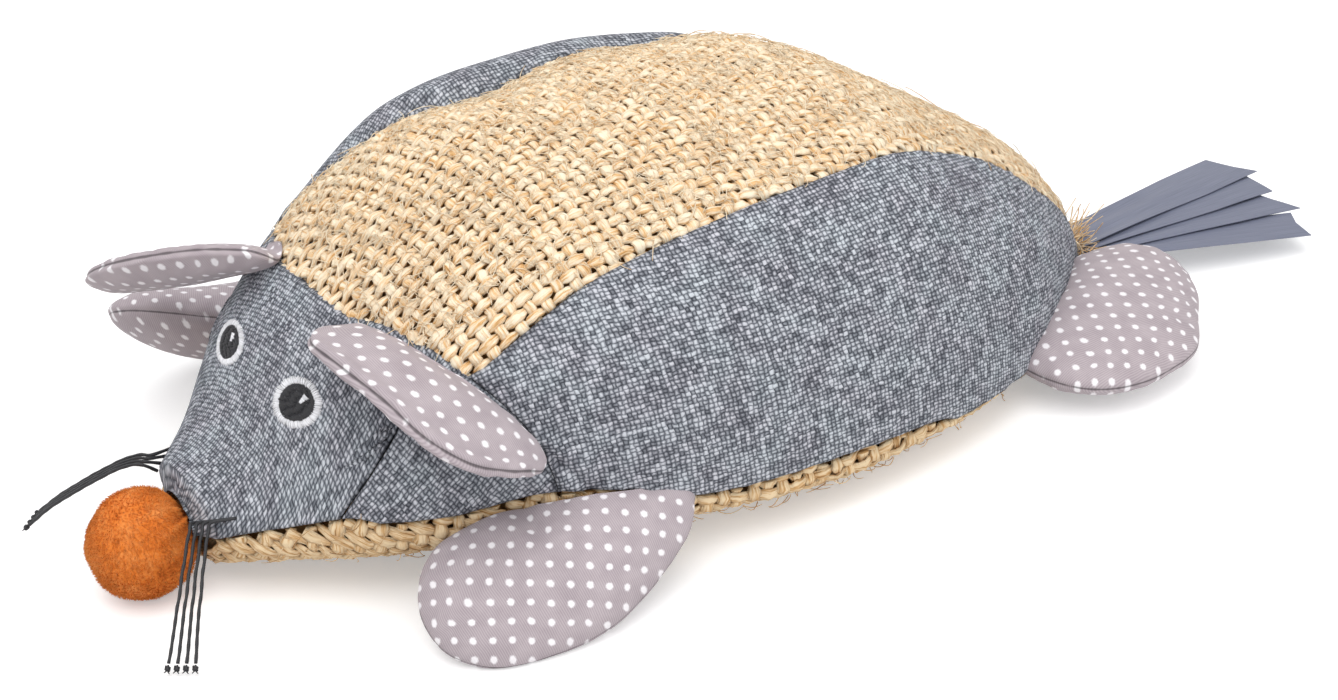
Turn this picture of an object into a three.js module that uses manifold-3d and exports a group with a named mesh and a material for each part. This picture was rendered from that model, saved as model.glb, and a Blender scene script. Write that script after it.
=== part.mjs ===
// Sisal toy mouse: a stuffed cat toy with a woven sisal back and belly, grey cloth head and flanks,
// dotted cotton ears and feet, a plush nose, a ribbon tail and waxed cord whiskers.
// Millimetres, +Z up. The nose points to -Y, the tail to +Y, and the mouse's left side is +X.
// The belly lies on z = 0.
import * as THREE from 'three';
import Module from 'manifold-3d';
import { mergeVertices } from 'three/addons/utils/BufferGeometryUtils.js';

const wasm = await Module();
wasm.setup();

// Driving sizes of the body
const bodyLength = 300;
const bodyHalfWidth = 94;
const bodyHeight = 111;
const tailEndShift = 36;
const restFlatDepth = 0.9;

// Cloth thicknesses, and the clearances between neighbours
const sisalThickness = 3;
const clothThickness = 1.6;
const seamGap = 0.8;
const fillingClearance = 1.0;
const touchGap = 0.3;
const cutSmoothing = 0.06;

// Seam turnings and openings
const snoutInset = 1.2;
const tailOpening = 0.6;

// Eyes, embroidered on the head panel
const eyeRadius = 6.6;
const pupilRadius = 4.9;
const eyeWideness = 1.28;
const highlightRadius = 1.1;
const stitchHeight = 0.6;

// Nose
const noseRadius = 15.6;
const noseReach = 11.5;

// Ears and feet
const earLength = 66.5;
const earThickness = 11.5;
const footLength = 80;
const footThickness = 21;
const footCurlHeight = 16;

// Tail ribbons
const ribbonLength = 92;
const ribbonRootWidth = 12;
const ribbonEndWidth = 19;
const ribbonThickness = 0.4;
const ribbonLayerPitch = 0.75;
const ribbonRootHeight = 13.5;
const ribbonEndHeight = 8.5;

// Whiskers
const whiskerDiameter = 0.9;
const knotRadius = 1.05;

// Shape of the body, from the snout to the tail seam, as shares of its driving sizes
const stationShares = [0, 0.055, 0.135, 0.24, 0.36, 0.5, 0.65, 0.8, 0.9, 0.96, 1];
const halfWidthShares = [0.18, 0.36, 0.6, 0.75, 0.92, 1, 0.94, 0.71, 0.45, 0.22, 0.06];
const topShares = [0.27, 0.34, 0.585, 0.85, 0.985, 1, 0.972, 0.77, 0.58, 0.4, 0.2];
const waistShares = [0.165, 0.175, 0.205, 0.21, 0.17, 0.135, 0.133, 0.131, 0.145, 0.14, 0.118];
const undersideShares = [0.06, 0.062, 0.045, 0.018, 0, 0, 0, 0, 0.02, 0.045, 0.06];
const bendStartShare = 0.4;
const bendPower = 1.6;
const upperFullness = 2.3;
const lowerFullness = 1.8;

// Seams, as angles round the body's section: 0 at the side, 90 on top, below 0 underneath. The
// sisal back is cut and sewn unevenly, so its right seam wanders more than its left one.
const backSeamShares = [0.24, 0.36, 0.5, 0.65, 0.8, 0.9, 0.96, 1];
const backSeamAngles = [35, 44, 49, 52, 57, 47, 42, 34];
const rightBackSeamShares = [0.24, 0.3, 0.35, 0.39, 0.42, 0.47, 0.53, 0.59, 0.64, 0.7, 0.8, 0.9, 0.96, 1];
const rightBackSeamAngles = [50, 66, 71, 74, 74, 72.5, 72, 70, 70, 66, 60, 47, 42, 34];
const bellySeamShares = [0, 0.05, 0.1, 0.13, 0.2, 0.27, 0.33, 0.4, 0.5, 0.65, 0.75, 0.85, 0.93, 1];
const bellySeamAngles = [7, 16, 13, 6.5, 3.5, 4, 3.7, 1.5, 1.8, 1, -5, -8, -7, -6];

// The neck seam and the front seam of the cheek, as shares of the body's length at those angles
const neckSeamAngles = [-10, 5, 12, 36, 63, 76, 90];
const neckSeamShares = [0.276, 0.273, 0.268, 0.225, 0.187, 0.172, 0.17];
const cheekSeamAngles = [0, 13, 34, 38];
const cheekSeamShares = [0.088, 0.098, 0.158, 0.19];
const cheekTopAngle = 37;
const cheekCornerAngle = 2;

const degrees = Math.PI / 180;
const quarterTurn = 90;
const halfTurn = 180;

// A smooth curve through hand-set values that doesn't overshoot them
function smoothValue(places, values, place) {
  const last = places.length - 1;
  const at = Math.min(Math.max(place, places[0]), places[last]);
  let i = 0;
  while (i < last - 1 && at > places[i + 1]) i += 1;
  const slope = (k) => (values[k + 1] - values[k]) / (places[k + 1] - places[k]);
  const tangent = (k) => {
    if (k === 0) return slope(0);
    if (k === last) return slope(last - 1);
    const before = slope(k - 1);
    const after = slope(k);
    return before * after <= 0 ? 0 : (2 * before * after) / (before + after);
  };
  const width = places[i + 1] - places[i];
  const s = (at - places[i]) / width;
  const rise = s * s * (3 - 2 * s);
  const start = tangent(i) * width * s * (1 - s) * (1 - s);
  const end = tangent(i + 1) * width * s * s * (1 - s);
  return values[i] * (1 - rise) + values[i + 1] * rise + start - end;
}

// The body's middle drifts to one side towards the tail, because the toy lies slightly curled
function middleShift(share) {
  const along = Math.max(share - bendStartShare, 0) / (1 - bendStartShare);
  return tailEndShift * along ** bendPower;
}

// A point of the body's outer skin. The angle runs round the section from the left side over the top.
function skinPoint(share, angle) {
  const halfWidth = bodyHalfWidth * smoothValue(stationShares, halfWidthShares, share);
  const top = bodyHeight * smoothValue(stationShares, topShares, share);
  const waist = bodyHeight * smoothValue(stationShares, waistShares, share);
  const underside = bodyHeight * smoothValue(stationShares, undersideShares, share);
  const across = Math.cos(angle * degrees);
  const up = Math.sin(angle * degrees);
  const power = 2 / (up >= 0 ? upperFullness : lowerFullness);
  const x = middleShift(share) + Math.sign(across) * halfWidth * Math.abs(across) ** power;
  const rise = Math.abs(up) ** power;
  const z = up >= 0 ? waist + (top - waist) * rise : waist - (waist - underside) * rise;
  const beyond = Math.max(share - 1, 0) + Math.min(share, 0);
  return new THREE.Vector3(x, bodyLength * (share - beyond), Math.max(z - restFlatDepth, 0));
}

// The same point moved outwards along the skin's normal, or inwards for a negative distance
const shareStep = 0.004;
const angleStep = 1.5;
function bodyPoint(share, angle, outwards) {
  const at = skinPoint(share, angle);
  const before = Math.max(share - shareStep, 0);
  const after = Math.min(share + shareStep, 1);
  const lengthwise = skinPoint(after, angle).sub(skinPoint(before, angle));
  const round = skinPoint(share, angle + angleStep).sub(skinPoint(share, angle - angleStep));
  const normal = lengthwise.cross(round).normalize();
  if (normal.dot(new THREE.Vector3(Math.cos(angle * degrees), 0, Math.sin(angle * degrees))) < 0) {
    normal.negate();
  }
  return at.addScaledVector(normal, outwards);
}

const backSeam = (share) => smoothValue(backSeamShares, backSeamAngles, share);
const rightBackSeam = (share) => smoothValue(rightBackSeamShares, rightBackSeamAngles, share);
const bellySeam = (share) => smoothValue(bellySeamShares, bellySeamAngles, share);
const foldedAngle = (angle) => (angle > quarterTurn ? halfTurn - angle : angle);
const neckSeam = (angle) => smoothValue(neckSeamAngles, neckSeamShares, foldedAngle(angle));
const cheekSeam = (angle) => smoothValue(cheekSeamAngles, cheekSeamShares, foldedAngle(angle));
const mix = (from, to, s) => from + (to - from) * s;

// The angle that a length takes at a place of the section, and the share that it takes along the body
function gapAngle(share, length) {
  const halfWidth = bodyHalfWidth * smoothValue(stationShares, halfWidthShares, share);
  const halfHeight = bodyHeight * smoothValue(stationShares, topShares, share) / 2;
  return length / Math.max((halfWidth + halfHeight) / 2, noseRadius) / degrees;
}
const gapShare = (length) => length / bodyLength;

// A geometry from points and triangles, with its faces turned outwards
function solidGeometry(points, triangles) {
  let volume = 0;
  for (const [a, b, c] of triangles) {
    volume += points[a].dot(new THREE.Vector3().crossVectors(points[b], points[c]));
  }
  const order = volume < 0 ? ([a, b, c]) => [a, c, b] : (face) => face;
  const geometry = new THREE.BufferGeometry();
  geometry.setAttribute('position', new THREE.Float32BufferAttribute(points.flatMap((p) => p.toArray()), 3));
  geometry.setIndex(triangles.flatMap(order));
  geometry.computeVertexNormals();
  return geometry;
}

// A sheet of cloth: an outer and an inner grid of points, closed round its edges
function sheetSolid(rows, columns, outer, inner) {
  const points = [];
  const triangles = [];
  for (const side of [outer, inner]) {
    for (let i = 0; i <= rows; i += 1) {
      for (let j = 0; j <= columns; j += 1) points.push(side(i / rows, j / columns));
    }
  }
  const width = columns + 1;
  const layer = (rows + 1) * width;
  const quad = (a, b, c, d) => triangles.push([a, b, c], [a, c, d]);
  for (let i = 0; i < rows; i += 1) {
    for (let j = 0; j < columns; j += 1) {
      const k = i * width + j;
      quad(k, k + 1, k + width + 1, k + width);
      quad(layer + k, layer + k + width, layer + k + width + 1, layer + k + 1);
    }
  }
  const rim = [];
  for (let j = 0; j < columns; j += 1) rim.push(j);
  for (let i = 0; i < rows; i += 1) rim.push(i * width + columns);
  for (let j = columns; j > 0; j -= 1) rim.push(rows * width + j);
  for (let i = rows; i > 0; i -= 1) rim.push(i * width);
  rim.forEach((k, n) => {
    const next = rim[(n + 1) % rim.length];
    quad(next, k, layer + k, layer + next);
  });
  return solidGeometry(points, triangles);
}

// A closed form lofted through rings of points, with a fan of faces at each end
function loftSolid(rings) {
  const count = rings[0].length;
  const points = rings.flat();
  const triangles = [];
  for (let i = 0; i < rings.length - 1; i += 1) {
    for (let j = 0; j < count; j += 1) {
      const a = i * count + j;
      const b = i * count + (j + 1) % count;
      triangles.push([a, b, b + count], [a, b + count, a + count]);
    }
  }
  for (const [ring, start] of [[rings[0], 0], [rings[rings.length - 1], (rings.length - 1) * count]]) {
    const centre = new THREE.Vector3();
    ring.forEach((p) => centre.addScaledVector(p, 1 / count));
    points.push(centre);
    for (let j = 0; j < count; j += 1) {
      const edge = [start + j, start + (j + 1) % count];
      triangles.push(start === 0 ? [points.length - 1, edge[1], edge[0]] : [points.length - 1, ...edge]);
    }
  }
  return solidGeometry(points, triangles);
}

// One shape less another
function toManifold(geometry) {
  const plain = geometry.clone();
  plain.deleteAttribute('normal');
  plain.deleteAttribute('uv');
  const merged = mergeVertices(plain, touchGap / 1000);
  return new wasm.Manifold(new wasm.Mesh({
    numProp: 3,
    vertProperties: new Float32Array(merged.attributes.position.array),
    triVerts: new Uint32Array(merged.index.array),
  }));
}
function fromManifold(solid) {
  const mesh = solid.getMesh();
  const geometry = new THREE.BufferGeometry();
  geometry.setAttribute('position', new THREE.BufferAttribute(new Float32Array(mesh.vertProperties), 3));
  geometry.setIndex(new THREE.BufferAttribute(new Uint32Array(mesh.triVerts), 1));
  geometry.computeVertexNormals();
  return geometry;
}
function cutAway(geometry, cutters) {
  let solid = toManifold(geometry);
  for (const cutter of cutters) solid = solid.subtract(toManifold(cutter));
  return fromManifold(solid.asOriginal().simplify(cutSmoothing));
}

// The whole body as one plain form, grown by a clearance, to cut the limbs with
const envelopeRings = 30;
const envelopeSides = 40;
function bodyEnvelope(clearance) {
  const rings = [];
  for (let i = 0; i <= envelopeRings; i += 1) {
    const ring = [];
    for (let j = 0; j < envelopeSides; j += 1) {
      const p = bodyPoint(i / envelopeRings, (j / envelopeSides) * 2 * halfTurn - halfTurn, clearance);
      ring.push(p);
    }
    rings.push(ring);
  }
  return loftSolid(rings);
}

const group = new THREE.Group();
function addPiece(name, geometry, colour, roughness) {
  const material = new THREE.MeshStandardMaterial({ color: colour, roughness, metalness: 0 });
  const mesh = new THREE.Mesh(geometry, material);
  mesh.name = name;
  group.add(mesh);
}

const greyCloth = 0x7d828d;
const sisalYarn = 0xe3bd82;
const sisalShade = 0xb98f5a;
const dottedCotton = 0xb3a9ad;
const orangePlush = 0xd9742b;
const ribbonSatin = 0x80879a;
const blackThread = 0x17171b;
const whiteThread = 0xf0f0f4;
const waxedCord = 0x1c1c1e;
const fillingFibre = 0xf2efe8;

// Filling: polyester fibre in the head and in the body, which meet at the neck
const neckShare = 0.2;
const tailFillingShare = 0.965;
const snoutFillingShare = 0.03;
const fillingSides = 32;
function fillingSolid(fromShare, toShare, ringCount) {
  const inwards = -(sisalThickness + fillingClearance);
  const rings = [];
  for (let i = 0; i <= ringCount; i += 1) {
    const share = mix(fromShare, toShare, i / ringCount);
    const ring = [];
    for (let j = 0; j < fillingSides; j += 1) {
      const p = bodyPoint(share, (j / fillingSides) * 2 * halfTurn - halfTurn, inwards);
      ring.push(p);
    }
    rings.push(ring);
  }
  return loftSolid(rings);
}

// Nose: a stuffed plush ball, drawn in where it is gathered onto the snout. It rests on the floor.
const noseCentre = new THREE.Vector3(0, -noseReach, noseRadius);
const noseSections = 22;
const noseProfileSteps = 14;
const noseGatherShare = 0.12;
function noseSolid(grownBy) {
  const profile = [];
  for (let i = 0; i <= noseProfileSteps; i += 1) {
    const turn = (i / noseProfileSteps) * Math.PI;
    const gather = 1 - noseGatherShare * Math.max(Math.cos(turn), 0) ** 4;
    const reach = (noseRadius + grownBy) * gather;
    const radius = i === 0 || i === noseProfileSteps ? 0 : reach * Math.sin(turn);
    profile.push(new THREE.Vector2(radius, reach * Math.cos(turn)));
  }
  const ball = new THREE.LatheGeometry(profile.reverse(), noseSections);
  return ball.translate(noseCentre.x, noseCentre.y, noseCentre.z);
}

const noseCutter = noseSolid(touchGap * 2);
const headFillingRings = 8;
const bodyFillingRings = 22;
const headFilling = fillingSolid(snoutFillingShare, neckShare - gapShare(touchGap), headFillingRings);
addPiece('body_filling', fillingSolid(neckShare, tailFillingShare, bodyFillingRings), fillingFibre, 1);
addPiece('head_filling', cutAway(headFilling, [noseCutter]), fillingFibre, 1);

// Panels of the skin: each fills a patch of the body's surface between its seams
function panelSolid(rows, columns, patch, thickness) {
  return sheetSolid(
    rows,
    columns,
    (u, v) => bodyPoint(...patch(u, v), 0),
    (u, v) => bodyPoint(...patch(u, v), -thickness),
  );
}
const tailEndShare = 1 - gapShare(tailOpening);
const settlingRounds = 8;
function patchPoint(u, v, front, rear, lower, upper) {
  let share = 0.5;
  let angle = mix(lower(share), upper(share), v);
  for (let i = 0; i < settlingRounds; i += 1) {
    share = mix(front(angle), rear(angle), u);
    angle = mix(lower(share), upper(share), v);
  }
  return [share, angle];
}
function onSide(side, patch) {
  return (u, v) => {
    const [share, angle] = patch(u, v);
    return [share, side > 0 ? angle : halfTurn - angle];
  };
}

const behindNeck = (angle) => neckSeam(angle) + gapShare(seamGap);
const tailEnd = () => tailEndShare;
const flankTop = (share) => backSeam(share) - gapAngle(share, seamGap / 2);
const rightFlankTop = (share) => rightBackSeam(share) - gapAngle(share, seamGap / 2);
const flankBottom = (share) => bellySeam(share) + gapAngle(share, seamGap / 2);
const flankPatch = (u, v) => patchPoint(u, v, behindNeck, tailEnd, flankBottom, flankTop);
const rightFlankPatch = (u, v) => patchPoint(u, v, behindNeck, tailEnd, flankBottom, rightFlankTop);

const backEdge = (share) => backSeam(share) + gapAngle(share, seamGap / 2);
const rightBackEdge = (share) => halfTurn - rightBackSeam(share) - gapAngle(share, seamGap / 2);
const backPatch = (u, v) => patchPoint(u, v, behindNeck, tailEnd, backEdge, rightBackEdge);

const cheekTop = cheekTopAngle - cheekCornerAngle * 1.6;
const behindCheekSeam = (angle) => cheekSeam(angle) + gapShare(seamGap);
const cheekPatch = (u, v) => patchPoint(u, v, behindCheekSeam, neckSeam, flankBottom, () => cheekTop);

// The head panel ends at the cheeks low down, and at the neck seam above them
const headStart = () => gapShare(snoutInset);
function headEnd(angle) {
  const above = Math.min(Math.max((foldedAngle(angle) - cheekTopAngle) / cheekCornerAngle, 0), 1);
  return mix(cheekSeam(angle), neckSeam(angle), above);
}
const headPatch = (u, v) => patchPoint(
  u, v, headStart, headEnd, flankBottom, (share) => halfTurn - flankBottom(share),
);

const bellyEdge = (share) => bellySeam(share) - gapAngle(share, seamGap);
const bellyPatch = (u, v) => patchPoint(
  u, v, headStart, tailEnd, (share) => -halfTurn - bellyEdge(share), bellyEdge,
);

const lengthSteps = 20;
addPiece('back_sisal_panel', panelSolid(lengthSteps, 14, backPatch, sisalThickness), sisalYarn, 0.95);
addPiece('belly_sisal_panel', panelSolid(26, 20, bellyPatch, sisalThickness), sisalShade, 0.95);
const leftFlank = panelSolid(lengthSteps, 6, onSide(1, flankPatch), clothThickness);
const rightFlank = panelSolid(lengthSteps, 6, onSide(-1, rightFlankPatch), clothThickness);
addPiece('left_flank_panel', leftFlank, greyCloth, 0.9);
addPiece('right_flank_panel', rightFlank, greyCloth, 0.9);
const headColumns = 30;
const headCloth = panelSolid(8, headColumns, headPatch, clothThickness);
addPiece('head_panel', cutAway(headCloth, [noseCutter]), greyCloth, 0.9);
addPiece('left_cheek_panel', panelSolid(6, 6, onSide(1, cheekPatch), clothThickness), greyCloth, 0.9);
addPiece('right_cheek_panel', panelSolid(6, 6, onSide(-1, cheekPatch), clothThickness), greyCloth, 0.9);
addPiece('nose_ball', noseSolid(0), orangePlush, 1);

// Eyes: a satin-stitched white ring, a dark pupil and a white highlight over it
const eyeShare = 0.112;
const eyeAngle = 67;
const highlightShiftShare = 0.42;
const leftHighlightSideShare = 0.41;
function eyeDisc(side, innerRadius, outerRadius, lift, shift, sideways = 0) {
  const angle = side > 0 ? eyeAngle : halfTurn - eyeAngle;
  const centre = skinPoint(eyeShare, angle);
  const perShare = skinPoint(eyeShare + shareStep, angle).distanceTo(centre) / shareStep;
  const perAngle = skinPoint(eyeShare, angle + angleStep).distanceTo(centre) / angleStep;
  const place = (turn, radius, height) => bodyPoint(
    eyeShare + (radius * Math.cos(turn) + shift) / perShare,
    angle + (radius * Math.sin(turn) * eyeWideness + sideways) / perAngle,
    lift + height,
  );
  const around = 20;
  if (innerRadius === 0) {
    const ring = (radius, height) => {
      const points = [];
      for (let j = 0; j < around; j += 1) points.push(place((j / around) * 2 * Math.PI, radius, height));
      return points;
    };
    return loftSolid([ring(outerRadius, 0), ring(outerRadius, stitchHeight)]);
  }
  const points = [];
  const triangles = [];
  for (let j = 0; j < around; j += 1) {
    const turn = (j / around) * 2 * Math.PI;
    points.push(place(turn, innerRadius, 0), place(turn, outerRadius, 0));
    points.push(place(turn, outerRadius, stitchHeight), place(turn, innerRadius, stitchHeight));
    for (let k = 0; k < 4; k += 1) {
      const a = j * 4 + k;
      const b = j * 4 + (k + 1) % 4;
      const next = ((j + 1) % around) * 4 - j * 4;
      triangles.push([a, b, b + next], [a, b + next, a + next]);
    }
  }
  return solidGeometry(points, triangles);
}
for (const [side, word] of [[1, 'left'], [-1, 'right']]) {
  const overPupil = stitchHeight + touchGap * 2;
  const highlightShift = pupilRadius * highlightShiftShare;
  const ring = eyeDisc(side, pupilRadius + touchGap, eyeRadius, touchGap, 0);
  const sideways = side > 0 ? -pupilRadius * leftHighlightSideShare : 0;
  const highlight = eyeDisc(side, 0, highlightRadius, overPupil, highlightShift, sideways);
  addPiece(`${word}_eye_ring`, ring, whiteThread, 0.6);
  addPiece(`${word}_eye_pupil`, eyeDisc(side, 0, pupilRadius, touchGap, 0), blackThread, 0.6);
  addPiece(`${word}_eye_highlight`, highlight, whiteThread, 0.6);
}

// A stuffed pad: two cloth faces sewn together along an outline, domed by the filling between them.
// Places on the pad are given along it, across it and upwards, and it rests flat on the floor.
const padRimPoints = 30;
const padRingShares = [0.28, 0.55, 0.77, 0.92, 1, 0.92, 0.77, 0.55, 0.28];
const padFullness = 2.6;
const padRimShare = 4;
const padFloorGap = 0.2;
function padSolid(outline, thickness, place) {
  const corners = outline.map(([along, across]) => new THREE.Vector3(along, across, 0));
  const curve = new THREE.CatmullRomCurve3(corners, true, 'centripetal');
  const rim = curve.getSpacedPoints(padRimPoints).slice(0, padRimPoints);
  const centre = new THREE.Vector3();
  rim.forEach((p) => centre.addScaledVector(p, 1 / padRimPoints));
  const rings = padRingShares.map((share, i) => rim.map((p) => {
    const upper = i < padRimShare ? 1 : -1;
    const dome = (thickness / 2) * (1 - share ** padFullness) ** 0.6;
    const at = centre.clone().lerp(p, share);
    const placed = place(at.x, at.y, dome * upper);
    placed.z = Math.max(placed.z, padFloorGap);
    return placed;
  }));
  return loftSolid(rings);
}

// A limb is cut clear of the body at every angle that its hinge allows
const sweepStep = 7;
function clearedLimb(limb, pivot, axis, fromAngle, toAngle) {
  const cutters = [];
  const steps = Math.ceil((toAngle - fromAngle) / sweepStep);
  for (let i = 0; i <= steps; i += 1) {
    const back = -mix(fromAngle, toAngle, i / steps) * degrees;
    const turned = bodyEnvelope(touchGap * 1.5)
      .translate(-pivot.x, -pivot.y, -pivot.z)
      .applyMatrix4(new THREE.Matrix4().makeRotationAxis(axis, back))
      .translate(pivot.x, pivot.y, pivot.z);
    cutters.push(turned);
  }
  return cutAway(limb, cutters);
}

// Ears: the left one lies back on the head, the right one stands out forwards
const leftEarOutlineShares = [
  [0, 0], [0.012, 0.1], [0.08, 0.19], [0.244, 0.25], [0.435, 0.305], [0.618, 0.345], [0.78, 0.305],
  [0.9, 0.205], [0.968, 0.1], [1, 0], [0.965, -0.06], [0.9, -0.085], [0.78, -0.095], [0.618, -0.09],
  [0.435, -0.07], [0.244, -0.07], [0.08, -0.065], [0.012, -0.04],
];
const rightEarOutlineShares = [
  [0, 0], [0.02, 0.09], [0.13, 0.16], [0.331, 0.218], [0.526, 0.256], [0.707, 0.256], [0.857, 0.213],
  [0.962, 0.123], [1, 0], [0.962, -0.123], [0.857, -0.213], [0.707, -0.256], [0.526, -0.256],
  [0.331, -0.218], [0.13, -0.16], [0.02, -0.09],
];
const ears = [
  {
    name: 'left_ear',
    spineShares: [
      [0.223, 0.153, 0.662], [0.394, 0.165, 0.658], [0.553, 0.185, 0.617], [0.702, 0.21, 0.536],
      [0.83, 0.235, 0.446], [0.894, 0.247, 0.401],
    ],
    across: [0.56, -0.82, 0.1],
    outlineShares: leftEarOutlineShares,
    pivotShares: [0.245, 0.167, 0.667],
    axis: [0.5, -0.84, 0.1],
    range: [0, 40],
  },
  {
    name: 'right_ear',
    spineShares: [
      [-0.202, 0.167, 0.685], [-0.372, 0.142, 0.657], [-0.543, 0.112, 0.61], [-0.713, 0.085, 0.55],
      [-0.872, 0.058, 0.48],
    ],
    across: [0.35, -0.84, 0.43],
    outlineShares: rightEarOutlineShares,
    pivotShares: [-0.223, 0.168, 0.667],
    axis: [-0.45, 0.84, -0.3],
    range: [-25, 30],
  },
];
const vector = (values) => new THREE.Vector3(...values);
const bodyPlace = ([x, y, z]) => new THREE.Vector3(x * bodyHalfWidth, y * bodyLength, z * bodyHeight);
const outlineOf = (shares, size) => shares.map((pair) => pair.map((share) => share * size));
for (const ear of ears) {
  const spine = new THREE.CatmullRomCurve3(ear.spineShares.map(bodyPlace));
  const place = (along, across, height) => {
    const s = Math.min(Math.max(along / earLength, 0), 1);
    const forwards = spine.getTangentAt(s);
    const sideways = vector(ear.across);
    sideways.addScaledVector(forwards, -sideways.dot(forwards)).normalize();
    const upwards = new THREE.Vector3().crossVectors(forwards, sideways).normalize();
    if (upwards.z < 0) upwards.negate();
    return spine.getPointAt(s).addScaledVector(sideways, across).addScaledVector(upwards, height);
  };
  const pad = padSolid(outlineOf(ear.outlineShares, earLength), earThickness, place);
  const cleared = clearedLimb(pad, bodyPlace(ear.pivotShares), vector(ear.axis).normalize(), ...ear.range);
  addPiece(ear.name, cleared, dottedCotton, 0.85);
}

// Feet: rounded pads with one straight side, which is sewn into the belly seam. Each slopes from
// its seam down to the floor, and the far front one curls up a little at its front. Outlines are
// given along the seam and across it, from its front end.
const frontFootOutlineShares = [
  [-0.25, 0.062], [-0.331, 0.188], [-0.331, 0.338], [-0.263, 0.45], [-0.138, 0.512], [-0.013, 0.519],
  [0.1, 0.5], [0.212, 0.469], [0.325, 0.412], [0.438, 0.325], [0.55, 0.212], [0.637, 0.087],
  [0.65, -0.037], [0.5, -0.075], [0.325, -0.087], [0.15, -0.075], [0, -0.05], [-0.138, 0],
];
const curledFootOutlineShares = [
  [-0.175, 0.037], [-0.312, 0.163], [-0.4, 0.325], [-0.4, 0.5], [-0.3, 0.613], [-0.125, 0.637],
  [0.037, 0.6], [0.163, 0.531], [0.287, 0.444], [0.412, 0.338], [0.537, 0.212], [0.637, 0.087],
  [0.637, -0.05], [0.5, -0.075], [0.325, -0.087], [0.15, -0.075], [0.013, -0.062],
];
const rearFootOutlineShares = [
  [-0.025, 0.05], [-0.05, 0.15], [-0.05, 0.25], [0, 0.362], [0.113, 0.469], [0.263, 0.544],
  [0.412, 0.575], [0.588, 0.537], [0.775, 0.475], [0.912, 0.388], [0.988, 0.275], [1, 0.163],
  [0.925, 0.05], [0.775, -0.05], [0.6, -0.087], [0.4, -0.1], [0.2, -0.087], [0.05, -0.05],
];
const feet = [
  {
    name: 'left_front_foot', side: 1, seamShares: [0.731, 0.227, 0.211],
    along: [0.392, 0.918, -0.046], slope: 34,
    outlineShares: frontFootOutlineShares,
  },
  {
    name: 'right_front_foot', side: -1, seamShares: [-0.731, 0.227, 0.211],
    along: [-0.392, 0.918, -0.046], slope: 17,
    outlineShares: curledFootOutlineShares, curls: true,
  },
  {
    name: 'left_rear_foot', side: 1, seamShares: [0.894, 0.793, 0.126],
    along: [-0.493, 0.868, 0.04], slope: 6,
    outlineShares: rearFootOutlineShares,
  },
  {
    name: 'right_rear_foot', side: -1, seamShares: [-0.511, 0.79, 0.126],
    along: [0.62, 0.78, 0.04], slope: 6,
    outlineShares: rearFootOutlineShares,
  },
];
const footLift = 35;
const footHingePlace = footLength * 0.3125;
const footCurlStart = footLength * 0.375;
const footCurlLength = footLength * 0.7;
for (const foot of feet) {
  const along = vector(foot.along).normalize();
  const level = new THREE.Vector3(along.y, -along.x, 0).normalize().multiplyScalar(foot.side);
  const slope = foot.slope * degrees;
  const outwards = level.multiplyScalar(Math.cos(slope)).add(new THREE.Vector3(0, 0, -Math.sin(slope)));
  const upwards = new THREE.Vector3().crossVectors(outwards, along).multiplyScalar(foot.side);
  const place = (a, b, height) => {
    const bend = (Math.max(footCurlStart - a, 0) / footCurlLength) ** 2;
    const curled = (foot.curls ? footCurlHeight : 0) * bend;
    const at = bodyPlace(foot.seamShares).addScaledVector(along, a).addScaledVector(outwards, b);
    return at.addScaledVector(upwards, height + curled);
  };
  const pad = padSolid(outlineOf(foot.outlineShares, footLength), footThickness, place);
  const liftAxis = along.clone().multiplyScalar(-foot.side);
  const pivot = bodyPlace(foot.seamShares).addScaledVector(along, footHingePlace);
  const cleared = clearedLimb(pad, pivot, liftAxis, 0, footLift);
  addPiece(foot.name, cleared, dottedCotton, 0.85);
}

// Tail: four satin ribbons in a stack, fanned out from the tail seam, the first on top. They droop
// by their distance from the seam, so that they lie on one another all the way.
const ribbonFanAngles = [8, 0, -8.5, -21];
const ribbonSideShares = [-0.12, -0.04, 0.04, 0.12];
const ribbonLengthShares = [1, 0.97, 0.92, 0.89];
const ribbonFlareShare = 0.7;
const ribbonDroopPower = 1.5;
const ribbonSlantShares = [0.03, -0.02, 0.03, -0.03];
const tailSeam = new THREE.Vector3(tailEndShift, bodyLength, ribbonRootHeight - restFlatDepth);
ribbonFanAngles.forEach((fanAngle, i) => {
  const length = ribbonLength * ribbonLengthShares[i];
  const lift = ribbonLayerPitch * (1.5 - i);
  const turn = fanAngle * degrees;
  const place = (u, v, height) => {
    const width = mix(ribbonRootWidth, ribbonEndWidth, Math.min(u / ribbonFlareShare, 1) ** 0.8);
    const sideways = width * (v - 0.5) + ribbonRootWidth * ribbonSideShares[i];
    const along = length * u * (1 + ribbonSlantShares[i] * (v - 0.5) * 2);
    const x = sideways * Math.cos(turn) - along * Math.sin(turn);
    const y = along * Math.cos(turn) + Math.max(sideways * Math.sin(turn), 0);
    const reach = Math.hypot(x, y) / ribbonLength;
    const droop = (ribbonRootHeight - ribbonEndHeight) * reach ** ribbonDroopPower;
    return new THREE.Vector3(tailSeam.x + x, tailSeam.y + y, tailSeam.z + lift + height - droop);
  };
  const strip = sheetSolid(10, 4, (u, v) => place(u, v, ribbonThickness), (u, v) => place(u, v, 0));
  addPiece(`tail_ribbon_${i + 1}`, strip, ribbonSatin, 0.45);
});

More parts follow.
